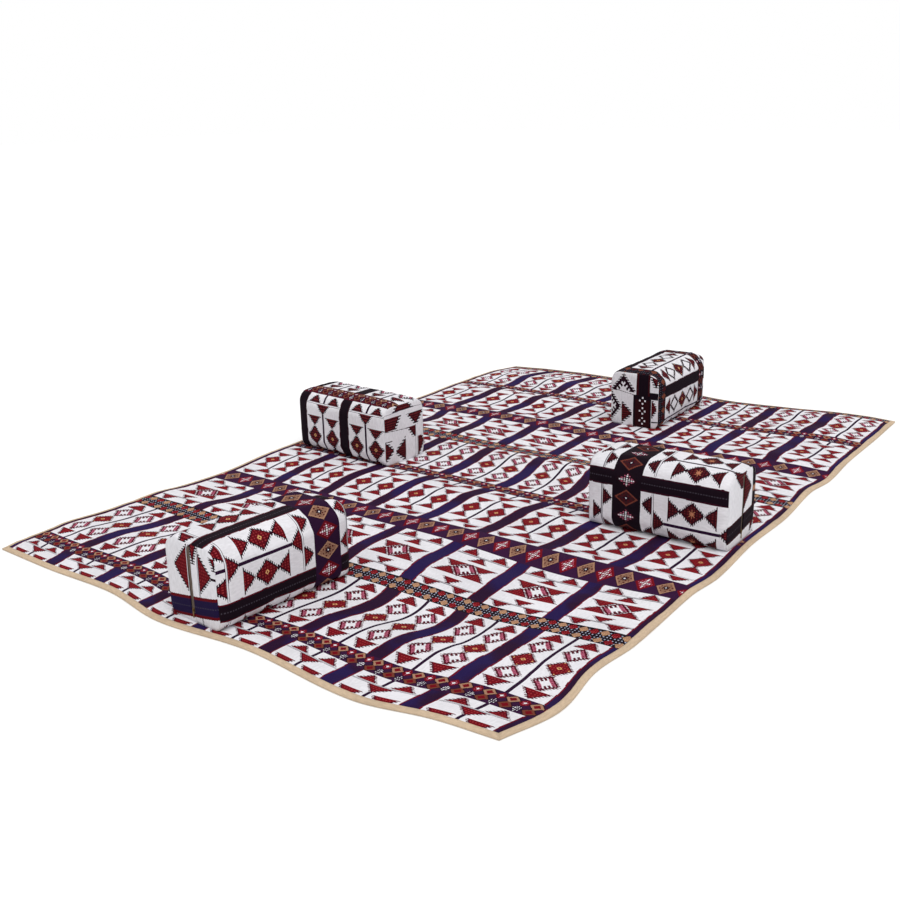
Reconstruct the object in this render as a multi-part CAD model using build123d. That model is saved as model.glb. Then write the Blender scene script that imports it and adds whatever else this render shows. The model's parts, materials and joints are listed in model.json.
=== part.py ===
from build123d import *

import math
import os

# Woven floor rug with four loose box armrests, all sizes in millimetres.
# X runs across the rug, Y along it, Z up from the floor. The origin is the centre of the rug's underside.

# Rug
rug_width = 2000.0
rug_length = 3080.0
backing_thickness = 1.0
pad_thickness = 6.0
face_thickness = 2.0
layer_gap = 0.3  # loose lay between one soft layer and the next
tape_thickness = 1.0
tape_face_width = 22.0
side_wander = 50.0  # how far the long edges stray from straight
end_wander = 60.0  # how far the short edges stray from straight

# Ripples that the loose cloth has taken up
ridge_height = 16.0
ridge_half_width = 85.0
ridge_half_length = 420.0
ripple_fade = 160.0  # distance over which a ripple dies out beside an armrest
rows_along = 28
columns_across = 8
edge_chord = 150.0  # length of the straight stretches that a straying edge is made of

# Armrests
armrest_length = 500.0
armrest_width = 250.0
armrest_height = 250.0
cover_thickness = 2.0
top_edge_radius = 42.0
bottom_edge_radius = 24.0
side_crown = 5.0
end_draw_in = 5.0
end_crown = 4.5
crown_chords = 4  # straight stretches that a crown, a top edge and a bottom edge are made of
corner_chords = 6
foot_chords = 4
cushion_gap = 0.3  # between the cover pieces, their core and the rug

# Zip in one end of each armrest cover
zip_length = 200.0
zip_foot = 30.0  # height of the zip's lower end above the cushion's underside
zip_opening_width = 18.0
zip_recess = 3.5  # from the crown of the end panel down to the zip tape
zip_tape_width = 14.0
zip_tape_thickness = 0.8
teeth_slot = 1.4
teeth_reach = 2.5
teeth_thickness = 1.8
tooth_pitch = 6.0
tooth_notch = 0.7
stop_height = 3.0
running_gap = 0.3
slider_length = 11.0
slider_plate = 1.4
slider_skirt = 0.8
slider_web = 0.8
slider_nose_width = 5.0
bail_height = 3.0
bail_width = 1.6
bail_bar = 1.0
bail_length = 7.0
pull_length = 24.0
pull_width = 5.0
pull_thickness = 1.2
pull_corner = 1.2
pull_gap = 0.4

cut_overrun = 10.0  # how far every cutting shape passes what it cuts

# Room between the rug's edge lines and the armrest ends beside them, less than 0 past the line
end_room = -7.0
side_room = 6.5
across_span = rug_width - armrest_length - 2 * side_room
along_span = rug_length - armrest_length - 2 * end_room

# Places of the armrests: shares of the spans across and along, turn in degrees from the zip end facing +X
armrest_place_shares = {
    "near": (-0.0097, -0.5, -94.2),
    "right": (0.5, -0.0585, 1.1),
    "left": (-0.4742, -0.0246, 176.2),
    "far": (0.0492, 0.4229, 91.8),
}
armrest_places = {
    side: (across * across_span, along * along_span, turn)
    for side, (across, along, turn) in armrest_place_shares.items()
}

# Each rug edge as (share along the edge, share of the wander), outwards positive
near_edge_shares = [(0.14, 0.15), (0.29, 0.1), (0.43, 0.85), (0.6, 0.45), (0.8, 1.0), (0.91, 0.25)]
right_edge_shares = [(0.06, 1.0), (0.13, 0.5), (0.19, 0.8), (0.31, 0.6), (0.36, 0.85), (0.46, 0.5)]
right_edge_shares += [(0.55, 0.6), (0.65, 0.2), (0.7, 0.5), (0.79, 0.2), (0.9, 0.15)]
far_edge_shares = [(0.1, 0.6), (0.24, 1.0), (0.44, 0.3), (0.6, -0.95), (0.74, -1.0), (0.86, 0.1), (0.94, 0.3)]
left_edge_shares = [(0.05, 0.4), (0.19, 0.1), (0.31, -0.4), (0.4, 0.25), (0.6, 0.5), (0.78, 0.85)]
left_edge_shares += [(0.88, 1.0), (0.95, 0.8)]

# Stations along half of an armrest where its swell changes
swell_shares = [-0.88, -0.6, 0.6, 0.88]

# Each ripple as (across share, along share, half length share, height share, slant share)
ripple_shares = [
    (-0.36, -0.41, 0.8, 0.7, 0.0),
    (0.3, -0.43, 0.8, 0.8, -0.05),
    (-0.3, -0.29, 1.0, 0.9, 0.05),
    (0.31, -0.28, 1.0, 1.0, 0.0),
    (0.1, -0.2, 1.1, 0.8, 0.04),
    (0.36, -0.19, 0.6, 0.7, 0.0),
    (-0.05, -0.09, 0.9, 0.7, -0.04),
    (0.08, 0.06, 1.0, 0.9, 0.03),
    (-0.34, 0.11, 0.8, 0.7, 0.0),
    (0.3, 0.13, 0.9, 0.9, 0.05),
    (-0.2, 0.21, 0.9, 0.8, 0.0),
    (0.36, 0.25, 0.7, 0.9, 0.0),
    (-0.3, 0.32, 0.8, 0.8, -0.05),
    (0.37, 0.38, 0.6, 0.8, 0.04),
    (-0.33, 0.43, 0.7, 0.6, 0.0),
    (0.33, 0.46, 0.7, 0.7, 0.0),
]

pad_low = backing_thickness + layer_gap
pad_high = pad_low + pad_thickness
face_low = pad_high + layer_gap
face_high = face_low + face_thickness
rug_margin = side_wander + end_wander
column_step = (rug_width + 2 * rug_margin) / columns_across
row_step = (rug_length + 2 * rug_margin) / rows_along
trimming_height = face_high + tape_thickness + len(ripple_shares) * ridge_height + 2 * cut_overrun


def smooth_step(share):
    share = min(max(share, 0), 1)
    return share * share * (3 - 2 * share)


def pressed_flat(x, y):
    """How much of a ripple is left at a place, from 0 beside an armrest to 1 away from it."""
    left = 1
    for middle_x, middle_y, turn in armrest_places.values():
        angle = math.radians(turn)
        reach_x = abs(math.cos(angle)) * armrest_length / 2 + abs(math.sin(angle)) * armrest_width / 2
        reach_y = abs(math.sin(angle)) * armrest_length / 2 + abs(math.cos(angle)) * armrest_width / 2
        beyond_x = abs(x - middle_x) - reach_x - column_step
        beyond_y = abs(y - middle_y) - reach_y - row_step
        left *= smooth_step(max(beyond_x, beyond_y) / ripple_fade)
    return left


def ripple(x, y):
    """Height that the ripples lift the cloth by at a place."""
    lift = 0
    for across, along, length_share, height_share, slant in ripple_shares:
        dx = x - across * rug_width
        dy = y - along * rug_length - slant * dx
        reach = (dx / (length_share * ridge_half_length)) ** 2 + (dy / ridge_half_width) ** 2
        lift += height_share * ridge_height * math.exp(-reach)
    return lift * pressed_flat(x, y)


def rug_sheet(low, high, follows):
    """A layer larger than the rug's outline. Its top follows the ripples, and its underside may too."""
    sections = []
    for row in range(rows_along + 1):
        y = -rug_length / 2 - rug_margin + row * row_step
        places = [column * column_step - rug_width / 2 - rug_margin for column in range(columns_across + 1)]
        top = [(x, y, high + ripple(x, y)) for x in places]
        if follows:
            under = [(x, y, low + ripple(x, y)) for x in reversed(places)]
        else:
            under = [(places[-1], y, low), (places[0], y, low)]
        sections.append(Wire.make_polygon(top + under, close=True))
    return Solid.make_loft(sections, ruled=True)


def rug_outline(inset):
    """The rug's plan with its straying edges, drawn in by a distance."""
    half_x = rug_width / 2 - inset
    half_y = rug_length / 2 - inset
    near = [(2 * half_x * along - half_x, -half_y - out * end_wander) for along, out in near_edge_shares]
    right = [(half_x + out * side_wander, 2 * half_y * along - half_y) for along, out in right_edge_shares]
    far = [(2 * half_x * along - half_x, half_y + out * end_wander) for along, out in far_edge_shares]
    left = [(-half_x - out * side_wander, 2 * half_y * along - half_y) for along, out in left_edge_shares]
    edges = [
        Spline((-half_x, -half_y), *near, (half_x, -half_y)),
        Spline((half_x, -half_y), *right, (half_x, half_y)),
        Spline((half_x, half_y), *reversed(far), (-half_x, half_y)),
        Spline((-half_x, half_y), *reversed(left), (-half_x, -half_y)),
    ]
    corners = []
    for edge, length in zip(edges, (rug_width, rug_length, rug_width, rug_length)):
        chords = math.ceil(length / edge_chord)
        corners += [edge.position_at(chord / chords) for chord in range(chords)]
    return make_face(Polyline(*corners, close=True))


def rug_block(inset, low):
    """A tall block with the rug's plan, for trimming layers, its flat underside at a height."""
    return Pos(0, 0, low) * extrude(rug_outline(inset), trimming_height)


def trapezoid(points):
    """A tall block over four corners, to part one binding tape from the next at the mitres."""
    return Pos(0, 0, -cut_overrun) * extrude(make_face(Polyline(*points, close=True)), trimming_height)


def build_rug():
    in_tape = tape_thickness + layer_gap
    pieces = {
        "rug_face_cloth": rug_sheet(face_low, face_high, True) & rug_block(in_tape, -cut_overrun),
        "rug_pad": rug_sheet(-cut_overrun, pad_high, False) & rug_block(in_tape, pad_low),
        "rug_backing_cloth": extrude(rug_outline(tape_face_width + layer_gap), backing_thickness),
    }
    shell = rug_sheet(-cut_overrun, face_high + in_tape, False) & rug_block(0, 0)
    hollow = rug_sheet(-cut_overrun, face_high + layer_gap, False) & rug_block(tape_thickness, tape_thickness)
    tape = shell - hollow - rug_block(tape_face_width, -cut_overrun)
    half_x = rug_width / 2
    half_y = rug_length / 2
    out_x = half_x + rug_margin
    out_y = half_y + rug_margin
    in_x = half_x - rug_margin
    in_y = half_y - rug_margin
    outer = [(-out_x, -out_y), (out_x, -out_y), (out_x, out_y), (-out_x, out_y)]
    inner = [(-in_x, -in_y), (in_x, -in_y), (in_x, in_y), (-in_x, in_y)]
    for side, name in enumerate(["near", "right", "far", "left"]):
        after = (side + 1) % len(outer)
        wedge = trapezoid([outer[side], outer[after], inner[after], inner[side]])
        pieces["rug_binding_" + name] = tape & wedge
    return pieces


def from_the_end(x):
    """A drawing plane that looks at the zip end, its own X along the armrest's Y."""
    return Plane(origin=(x, 0, 0), x_dir=(0, 1, 0), z_dir=(1, 0, 0))


def cushion_section(x, skin, draw_in):
    """A rounded square across the armrest: flat underneath, crowned on top and at the sides."""
    half = armrest_width / 2 - skin - draw_in
    low = skin
    high = armrest_height - skin - draw_in
    top_radius = top_edge_radius - skin
    foot_radius = bottom_edge_radius - skin
    wall = half - side_crown
    shoulder = high - side_crown
    middle = (low + high) / 2
    bend = 1 - math.sqrt(0.5)
    foot_start = (wall - foot_radius, low)
    foot_middle = (wall - bend * foot_radius, low + bend * foot_radius)
    crown_start = (wall, low + foot_radius)
    crown_end = (wall, shoulder - top_radius)
    top_middle = (wall - bend * top_radius, shoulder - bend * top_radius)
    top_start = (wall - top_radius, shoulder)
    top_end = (top_radius - wall, shoulder)
    rising = [
        (ThreePointArc(foot_start, foot_middle, crown_start), foot_chords),
        (ThreePointArc(crown_start, (half, middle), crown_end), crown_chords),
        (ThreePointArc(crown_end, top_middle, top_start), corner_chords),
    ]
    right = []
    for arc, chords in rising:
        right += [arc.position_at(chord / chords) for chord in range(chords)]
    top = ThreePointArc(top_start, (0, high), top_end)
    over = [top.position_at(chord / crown_chords) for chord in range(crown_chords + 1)]
    left = [Vector(-point.X, point.Y) for point in reversed(right)]
    return from_the_end(x) * make_face(Polyline(*right, *over, *left, close=True))


def dome_ball(side, skin):
    """A ball whose surface is the gently domed end on one side, drawn in by a distance."""
    reach = math.hypot(armrest_width / 2, armrest_height / 2)
    radius = (reach**2 + end_crown**2) / (2 * end_crown)
    shift = radius - armrest_length / 2
    return Pos(-side * shift, 0, armrest_height / 2) * Sphere(radius - skin)


def cushion(skin, end_skin):
    """The armrest's crowned form, drawn in by the skin around and the end skin lengthways."""
    half = armrest_length / 2
    beyond = half + cut_overrun
    places = [-beyond] + [share * half for share in swell_shares] + [beyond]
    sections = [cushion_section(x, skin, end_draw_in * (x / half) ** 4) for x in places]
    return loft(sections, ruled=True) & dome_ball(1, end_skin) & dome_ball(-1, end_skin)


def end_plate(side):
    """The domed cover panel that closes one end of the cushion, inside the sleeve."""
    return cushion(cover_thickness + cushion_gap, 0) - dome_ball(side, cover_thickness)


def block(x_range, y_range, z_range):
    """A box between two limits along each axis."""
    size = [high - low for low, high in (x_range, y_range, z_range)]
    middle = [(high + low) / 2 for low, high in (x_range, y_range, z_range)]
    return Pos(*middle) * Box(*size)


# Stations of the zip along X, from the tape outwards, and its two ends along Z
tape_front = armrest_length / 2 - zip_recess
tape_back = tape_front - zip_tape_thickness
teeth_front = tape_front + teeth_thickness
plate_low = teeth_front + running_gap
plate_high = plate_low + slider_plate
stop_front = plate_low + slider_plate / 2
under_high = tape_back - running_gap
under_low = under_high - slider_plate
zip_low = zip_foot
zip_high = zip_foot + zip_length
slider_rest = zip_low + stop_height + running_gap + slider_length / 2
slider_travel = zip_length - 2 * stop_height - 2 * running_gap - slider_length
teeth_side = teeth_slot / 2 + teeth_reach
pivot_x = plate_high + pull_gap + pull_thickness / 2


def zip_panel(side):
    """Half of the zipped end panel with its folded hem; side is 1 on +Y and -1 on -Y."""
    hem_half = zip_opening_width / 2 + zip_tape_width / 2
    hem = cushion(cover_thickness + cushion_gap, 0) & block(
        (tape_front, armrest_length), (-hem_half, hem_half), (zip_low, zip_high)
    )
    opening = block(
        (0, armrest_length), (-zip_opening_width / 2, zip_opening_width / 2), (zip_low, zip_high)
    )
    half = block((0, armrest_length), sorted((0, side * armrest_width)), (-cut_overrun, armrest_height))
    return (end_plate(1) + hem - opening) & half


def teeth_row(side, first, last):
    """One row of teeth on its tape edge, a comb that faces the slot."""
    tooth_count = int((last - first) / tooth_pitch)
    step = (last - first) / tooth_count
    tip = side * teeth_slot / 2
    root = side * (teeth_slot / 2 + tooth_notch)
    points = [(side * teeth_side, last), (side * teeth_side, first)]
    for tooth in range(tooth_count):
        start = first + tooth * step
        points += [(root, start), (tip, start + step / 2)]
    points.append((root, last))
    return extrude(from_the_end(tape_front) * make_face(Polyline(*points, close=True)), teeth_thickness)


def zip_teeth():
    """Both rows of teeth, the stop across their foot and a stop on each row at the top."""
    first = zip_low + stop_height
    last = zip_high - stop_height
    foot_stop = block((tape_front, stop_front), (-teeth_side, teeth_side), (zip_low, first))
    solids = [foot_stop]
    for side in (-1, 1):
        span = sorted((side * teeth_slot / 2, side * teeth_side))
        solids.append(teeth_row(side, first, last))
        solids.append(block((tape_front, stop_front), span, (last, zip_high)))
    return Compound(solids)


def zip_slider():
    """Slider of two plates joined by a web that runs in the slot, with skirts and a bail."""
    low = slider_rest - slider_length / 2
    high = slider_rest + slider_length / 2
    skirt_in = teeth_side + running_gap
    skirt_out = skirt_in + slider_skirt
    nose = slider_nose_width / 2
    waist = low + slider_length / 3
    outline = [(-nose, low), (nose, low), (skirt_out, waist), (skirt_out, high), (-skirt_out, high)]
    outline.append((-skirt_out, waist))
    upper = extrude(from_the_end(plate_low) * make_face(Polyline(*outline, close=True)), slider_plate)
    lower = block((under_low, under_high), (-nose, nose), (low, high))
    web = block((under_high, plate_low), (-slider_web / 2, slider_web / 2), (slider_rest, high))
    skirts = [
        block((tape_front + running_gap, plate_low), sorted((side * skirt_in, side * skirt_out)), (waist, high))
        for side in (-1, 1)
    ]
    bail_low = slider_rest - bail_length / 2
    bail_high = slider_rest + bail_length / 2
    arch = block((plate_high, plate_high + bail_height), (-bail_width / 2, bail_width / 2), (bail_low, bail_high))
    window = block(
        (plate_high, plate_high + bail_height - bail_bar),
        (-bail_width, bail_width),
        (bail_low + bail_bar, bail_high - bail_bar),
    )
    return upper + lower + web + skirts[0] + skirts[1] + (arch - window)


def zip_pull():
    """Pull tab that hangs from a round crossbar through the slider's bail."""
    half = pull_width / 2
    slot_half = bail_width / 2 + pull_gap
    slot_end = bail_length / 2 + 2 * pull_gap
    low = slider_rest - pull_length
    tab = block(
        (pivot_x - pull_thickness / 2, pivot_x + pull_thickness / 2), (-half, half), (low, slider_rest)
    )
    tab = chamfer(tab.edges().filter_by(Axis.X).group_by(Axis.Z)[0], pull_corner)
    slot = block(
        (pivot_x - pull_thickness, pivot_x + pull_thickness),
        (-slot_half, slot_half),
        (slider_rest - slot_end, slider_rest + slot_end),
    )
    crossbar = Pos(pivot_x, 0, slider_rest) * Rot(90, 0, 0) * Cylinder(pull_thickness / 2, pull_width)
    return tab - slot + crossbar


def build_armrest():
    """Every piece of one armrest, its underside at Z 0 and its zip at the +X end."""
    inner = cover_thickness + cushion_gap
    whole = cushion(0, 0)
    tube_bore = cushion(cover_thickness, -cut_overrun)
    room = block(
        (-armrest_length, under_low - running_gap),
        (-armrest_width, armrest_width),
        (-cut_overrun, armrest_height + cut_overrun),
    )
    pieces = {
        "core": cushion(inner, inner) & room,
        "sleeve": whole - tube_bore,
        "plain_end": end_plate(-1),
    }
    for name, side in (("left", -1), ("right", 1)):
        edge = zip_opening_width / 2 + zip_tape_width / 2
        pieces["zip_end_" + name] = zip_panel(side)
        pieces["zip_tape_" + name] = block(
            (tape_back, tape_front), sorted((side * teeth_slot / 2, side * edge)), (zip_low, zip_high)
        )
    pieces["zip_teeth"] = zip_teeth()
    pieces["zip_slider"] = zip_slider()
    pieces["zip_pull"] = zip_pull()
    return pieces


def export_all():
    os.makedirs("parts", exist_ok=True)
    for name, piece in build_rug().items():
        export_step(piece, "parts/" + name + ".step")
    armrest = build_armrest()
    for side, (middle_x, middle_y, turn) in armrest_places.items():
        place = Pos(middle_x, middle_y, face_high + cushion_gap) * Rot(0, 0, turn)
        for name, piece in armrest.items():
            export_step(place * piece, "parts/" + side + "_armrest_" + name + ".step")


export_all()
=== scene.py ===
import json
import math

import bmesh
import bpy
from mathutils import Matrix, Vector, noise

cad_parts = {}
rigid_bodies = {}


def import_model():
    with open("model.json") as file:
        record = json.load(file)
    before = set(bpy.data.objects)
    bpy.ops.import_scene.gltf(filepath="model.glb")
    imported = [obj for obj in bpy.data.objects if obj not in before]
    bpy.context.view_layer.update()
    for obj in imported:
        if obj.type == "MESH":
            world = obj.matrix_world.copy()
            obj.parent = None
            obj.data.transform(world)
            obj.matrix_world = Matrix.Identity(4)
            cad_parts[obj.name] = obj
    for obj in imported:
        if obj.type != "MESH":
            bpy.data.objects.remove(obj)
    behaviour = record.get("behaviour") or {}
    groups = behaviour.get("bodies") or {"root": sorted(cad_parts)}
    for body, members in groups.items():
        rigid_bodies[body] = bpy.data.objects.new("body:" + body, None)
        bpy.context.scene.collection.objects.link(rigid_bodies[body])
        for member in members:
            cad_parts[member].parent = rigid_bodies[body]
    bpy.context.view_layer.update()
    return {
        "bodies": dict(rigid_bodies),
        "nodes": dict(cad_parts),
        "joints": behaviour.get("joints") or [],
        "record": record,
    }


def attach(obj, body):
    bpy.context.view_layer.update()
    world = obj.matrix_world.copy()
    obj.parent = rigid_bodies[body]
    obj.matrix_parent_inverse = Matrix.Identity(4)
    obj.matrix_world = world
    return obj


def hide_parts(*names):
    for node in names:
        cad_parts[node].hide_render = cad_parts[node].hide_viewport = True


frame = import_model()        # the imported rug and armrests


# Dyes and light

def dye(red, green, blue):
    # A colour given in the 0 to 255 steps of a dye chart, as light values
    def light(step):
        share = step / 255
        return share / 12.92 if share <= 0.04045 else ((share + 0.055) / 1.055) ** 2.4
    return (light(red), light(green), light(blue), 1.0)


dyes = {
    "ground": dye(243, 241, 246),
    "crimson": dye(120, 6, 22),
    # The next two are the crimson darkened, painted shade for the armrest covers
    "garnet": dye(100, 6, 20),
    "claret": dye(58, 8, 18),
    "oxblood": dye(44, 8, 14),
    "crimsonDeep": dye(78, 8, 22),
    "maroon": dye(84, 10, 32),
    "fleck": dye(212, 78, 80),
    "outline": dye(36, 10, 26),
    "pink": dye(200, 104, 130),
    "gold": dye(230, 180, 120),
    "copper": dye(190, 124, 92),
    "indigo": dye(38, 24, 76),
    "midnight": dye(30, 18, 60),
    "plum": dye(42, 14, 46),
    "aubergine": dye(54, 18, 56),
    "tan": dye(176, 132, 106),
    "russet": dye(120, 62, 48),
    "ink": dye(22, 8, 20),
    "hairline": dye(86, 80, 92),
    "binding": dye(226, 200, 170),
    "backing": dye(196, 178, 150),
    "wadding": dye(226, 224, 216),
    "foam": dye(232, 220, 178),
    "dot": dye(186, 192, 214),
    "zipTape": dye(128, 112, 102),
    "zipTeeth": dye(132, 116, 104),
    "thread": dye(222, 204, 178),
}


# Sums over node sockets

class Yarn:
    # One value of a node tree; a sum written with it adds the math nodes that work it out
    def __init__(self, tree, socket):
        self.tree = tree
        self.socket = socket

    def __add__(self, other):
        return knit(self.tree, "ADD", self, other)

    def __radd__(self, other):
        return knit(self.tree, "ADD", other, self)

    def __sub__(self, other):
        return knit(self.tree, "SUBTRACT", self, other)

    def __rsub__(self, other):
        return knit(self.tree, "SUBTRACT", other, self)

    def __mul__(self, other):
        return knit(self.tree, "MULTIPLY", self, other)

    def __rmul__(self, other):
        return knit(self.tree, "MULTIPLY", other, self)

    def __truediv__(self, other):
        return knit(self.tree, "DIVIDE", self, other)

    def __gt__(self, other):
        return knit(self.tree, "GREATER_THAN", self, other)

    def __lt__(self, other):
        return knit(self.tree, "LESS_THAN", self, other)

    def __and__(self, other):
        return knit(self.tree, "MULTIPLY", self, other)

    def __or__(self, other):
        return knit(self.tree, "MAXIMUM", self, other)

    def __invert__(self):
        return knit(self.tree, "SUBTRACT", 1.0, self)

    def __abs__(self):
        return knit(self.tree, "ABSOLUTE", self)

    def floor(self):
        return knit(self.tree, "FLOOR", self)

    def part(self):
        return knit(self.tree, "FRACT", self)


def knit(tree, operation, *values):
    node = tree.nodes.new("ShaderNodeMath")
    node.operation = operation
    for place, value in zip(node.inputs, values):
        if isinstance(value, Yarn):
            tree.links.new(value.socket, place)
        else:
            place.default_value = value
    return Yarn(tree, node.outputs[0])


def blendColour(tree, share, under, over, mode="MIX"):
    # Lays one colour over another where the share is 1
    node = tree.nodes.new("ShaderNodeMix")
    node.data_type = "RGBA"
    node.blend_type = mode
    for place, value in (("Factor", share), ("A", under), ("B", over)):
        socket = next(s for s in node.inputs if s.name == place and s.enabled)
        if isinstance(value, Yarn):
            tree.links.new(value.socket, socket)
        else:
            socket.default_value = value
    return Yarn(tree, next(s for s in node.outputs if s.enabled))


def newGroup(name, takes, gives):
    # A shader node group: takes lists (name, kind, value), gives lists (name, kind)
    tree = bpy.data.node_groups.new(name, "ShaderNodeTree")
    for label, kind, value in takes:
        socket = tree.interface.new_socket(name=label, in_out="INPUT", socket_type="NodeSocket" + kind)
        if value is not None:
            socket.default_value = value
    for label, kind in gives:
        tree.interface.new_socket(name=label, in_out="OUTPUT", socket_type="NodeSocket" + kind)
    start = tree.nodes.new("NodeGroupInput")
    end = tree.nodes.new("NodeGroupOutput")
    return tree, {s.name: Yarn(tree, s) for s in start.outputs if s.name}, end


def give(tree, end, **values):
    for label, value in values.items():
        tree.links.new(value.socket, end.inputs[label])


def useGroup(tree, group, **values):
    node = tree.nodes.new("ShaderNodeGroup")
    node.node_tree = group
    for label, value in values.items():
        label = label.replace("_", " ")
        if isinstance(value, Yarn):
            tree.links.new(value.socket, node.inputs[label])
        else:
            node.inputs[label].default_value = value
    return {s.name: Yarn(tree, s) for s in node.outputs}


def split(tree, vector):
    node = tree.nodes.new("ShaderNodeSeparateXYZ")
    tree.links.new(vector.socket, node.inputs[0])
    return Yarn(tree, node.outputs[0]), Yarn(tree, node.outputs[1])


def noiseValue(tree, vector, scale, detail=2.0, stretch=(1, 1, 1)):
    mapping = tree.nodes.new("ShaderNodeMapping")
    mapping.inputs["Scale"].default_value = stretch
    tree.links.new(vector.socket, mapping.inputs["Vector"])
    node = tree.nodes.new("ShaderNodeTexNoise")
    node.inputs["Scale"].default_value = scale
    node.inputs["Detail"].default_value = detail
    tree.links.new(mapping.outputs[0], node.inputs["Vector"])
    return Yarn(tree, node.outputs["Fac"])


def ramp(tree, value, low, high):
    node = tree.nodes.new("ShaderNodeMapRange")
    node.interpolation_type = "SMOOTHSTEP"
    node.inputs["From Min"].default_value = low
    node.inputs["From Max"].default_value = high
    tree.links.new(value.socket, node.inputs["Value"])
    return Yarn(tree, node.outputs["Result"])


# The weave, in metres of cloth: x across the warp, y along it

weave = {
    "repeatWidth": 0.25,       # from one warp stripe to the next
    "repeatLength": 1.245,
    "stripeHalf": 0.0225,
    "stripeEdge": 0.0045,
    "columnPlace": 0.053,      # motif columns, from the middle between two stripes
    "firstBand": 0.142,        # middle of the first figure-eight band
    "figureRow": (0.0, 0.0325),   # middle and half height of each row, from the middle of that band
    "lozengeRow": (0.209, 0.1765),
    "dotRow": (0.423, 0.0375),
    "starRow": (0.6005, 0.14),
    "darkRow": (0.793, 0.0525),
    "wedgeRow": (1.029, 0.1835),
    "threadStep": 0.002,
    "toothPitch": 0.0065,
    "toothReach": 0.0065,
    "outlineWidth": 0.0048,
    "fleckPitch": 0.0105,
}


def lozenge(x, y, halfWidth, halfHeight):
    # 1 at the middle, 0 at the edge
    return 1 - abs(x) / halfWidth - abs(y) / halfHeight


def motif(y, inside, halfWidth, within=None, coarse=1.0):
    # Filled part and toothed outline of a motif, from how far inside its edge a spot lies
    teeth = (y / (weave["toothPitch"] * coarse)).part() > 0.5
    rim = (inside + teeth * (weave["toothReach"] * coarse / halfWidth)) > 0
    body = inside > weave["outlineWidth"] / halfWidth
    if within is not None:
        rim = rim & within
        body = body & within
    return body, rim


def wedge(x, y, apex, base, halfWidth, coarse=1.0):
    # A triangle whose straight base lies across the warp
    share = (y - apex) / (base - apex)
    within = (share > 0) & (share < 1)
    return motif(y, share - abs(x) / halfWidth, halfWidth, within, coarse)


def pile(pairs):
    # All the filled parts and all the outlines of several motifs
    body, rim = pairs[0]
    for nextBody, nextRim in pairs[1:]:
        body = body | nextBody
        rim = rim | nextRim
    return body, rim


def toothedLozenge(x, y, halfWidth, halfHeight, warpwise, plain):
    # White middle in a frame; unless plain, dark teeth on two sides and pink strokes on the other two
    inside = lozenge(x, y, halfWidth, halfHeight)
    run = abs(x) / halfWidth - abs(y) / halfHeight   # along each side, from -1 to 1
    strokes = (run * 2.5 + 0.25).part() > 0.4
    hatch = (run * 3.5 + 0.25).part() > 0.55
    leaning = (x * y * warpwise) > 0
    frame = (inside > 0) & (inside < plain * 0.1 + 0.2)
    pink = leaning & (inside > 0.18) & (inside < 0.54) & ~plain
    teeth = ~leaning & strokes & (inside > 0.12) & (inside < 0.6) & ~plain
    dark = frame | teeth | (pink & hatch & (inside > 0.26) & (inside < 0.48))
    return inside, pink & ~dark, dark


def motifRowGroup(name, build):
    # A row of motifs between two warp stripes, as masks of its dyes
    takes = [(label, "Float", 0.0) for label in ("X", "Y", "Rays", "Plain")]
    gives = [(label, "Float") for label in ("Body", "Rim", "Pink", "Open", "Gold", "Line", "Hairline")]
    tree, taken, end = newGroup(name, takes, gives)
    made = build(taken["X"], taken["Y"], taken["Rays"], taken["Plain"])
    give(tree, end, **made)
    print("woven:", name)
    return tree


def hairlines(side, height, place):
    # A pair of thin lines across the warp
    return (abs(abs(height - place) - 0.0025) < 0.0011) & (side < 0.0965)


def ring(column, y, size):
    return (lozenge(column, y, size, size * 0.85) > 0) & (lozenge(column, y, size * 0.4, size * 0.35) < 0)


def flower(column, y, rays):
    # Small gold ring, or thin rays
    cross = (lozenge(column, y, 0.016, 0.003) > 0) | (lozenge(column, y, 0.003, 0.014) > 0)
    slanting = (abs(abs(column) - abs(y)) < 0.0014) & (abs(column) < 0.0105)
    return (ring(column, y, 0.0085) & ~rays) | ((cross | slanting) & rays)


def lozengeRow(x, y, rays, plain):
    column = abs(x) - weave["columnPlace"]
    height = abs(y)
    red = motif(y, lozenge(column, y, 0.037, 0.043), 0.037)
    point = wedge(column, height, 0.174, 0.129, 0.036)
    core, pink, dark = toothedLozenge(column, height - 0.086, 0.036, 0.0425, x * y, plain)
    body, rim = pile([red, point])
    seeds = (lozenge(column, height - 0.034, 0.003, 0.003) > 0) | (lozenge(abs(column) - 0.027, y, 0.003, 0.003) > 0)
    return {
        "Body": body,
        "Rim": rim | motif(y, core, 0.036)[1] | dark,
        "Pink": pink,
        "Open": (core > 0.13) & ~dark & ~pink,
        "Gold": flower(column, y, rays) | seeds,
        "Line": abs(x) < 0.0054,
        "Hairline": height < 0,
    }


def starRow(x, y, rays, plain):
    side = abs(x)
    height = abs(y)
    small = wedge(side - 0.054, height, 0.139, 0.103, 0.031)
    middle = wedge(x, height, 0.1, 0.066, 0.031)
    arm = wedge(side - 0.0475, height, 0.0, 0.046, 0.0385)
    core, pink, dark = toothedLozenge(x, y, 0.043, 0.05, 1.0, plain)
    body, rim = pile([small, middle, arm])
    blank = core > 0
    nothing = side < 0
    return {
        "Body": body & ~blank,
        "Rim": (rim & ~blank) | dark,
        "Pink": pink,
        "Open": blank & ~pink & ~dark,
        "Gold": nothing,
        "Line": nothing,
        "Hairline": hairlines(side, height, 0.102),
    }


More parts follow.
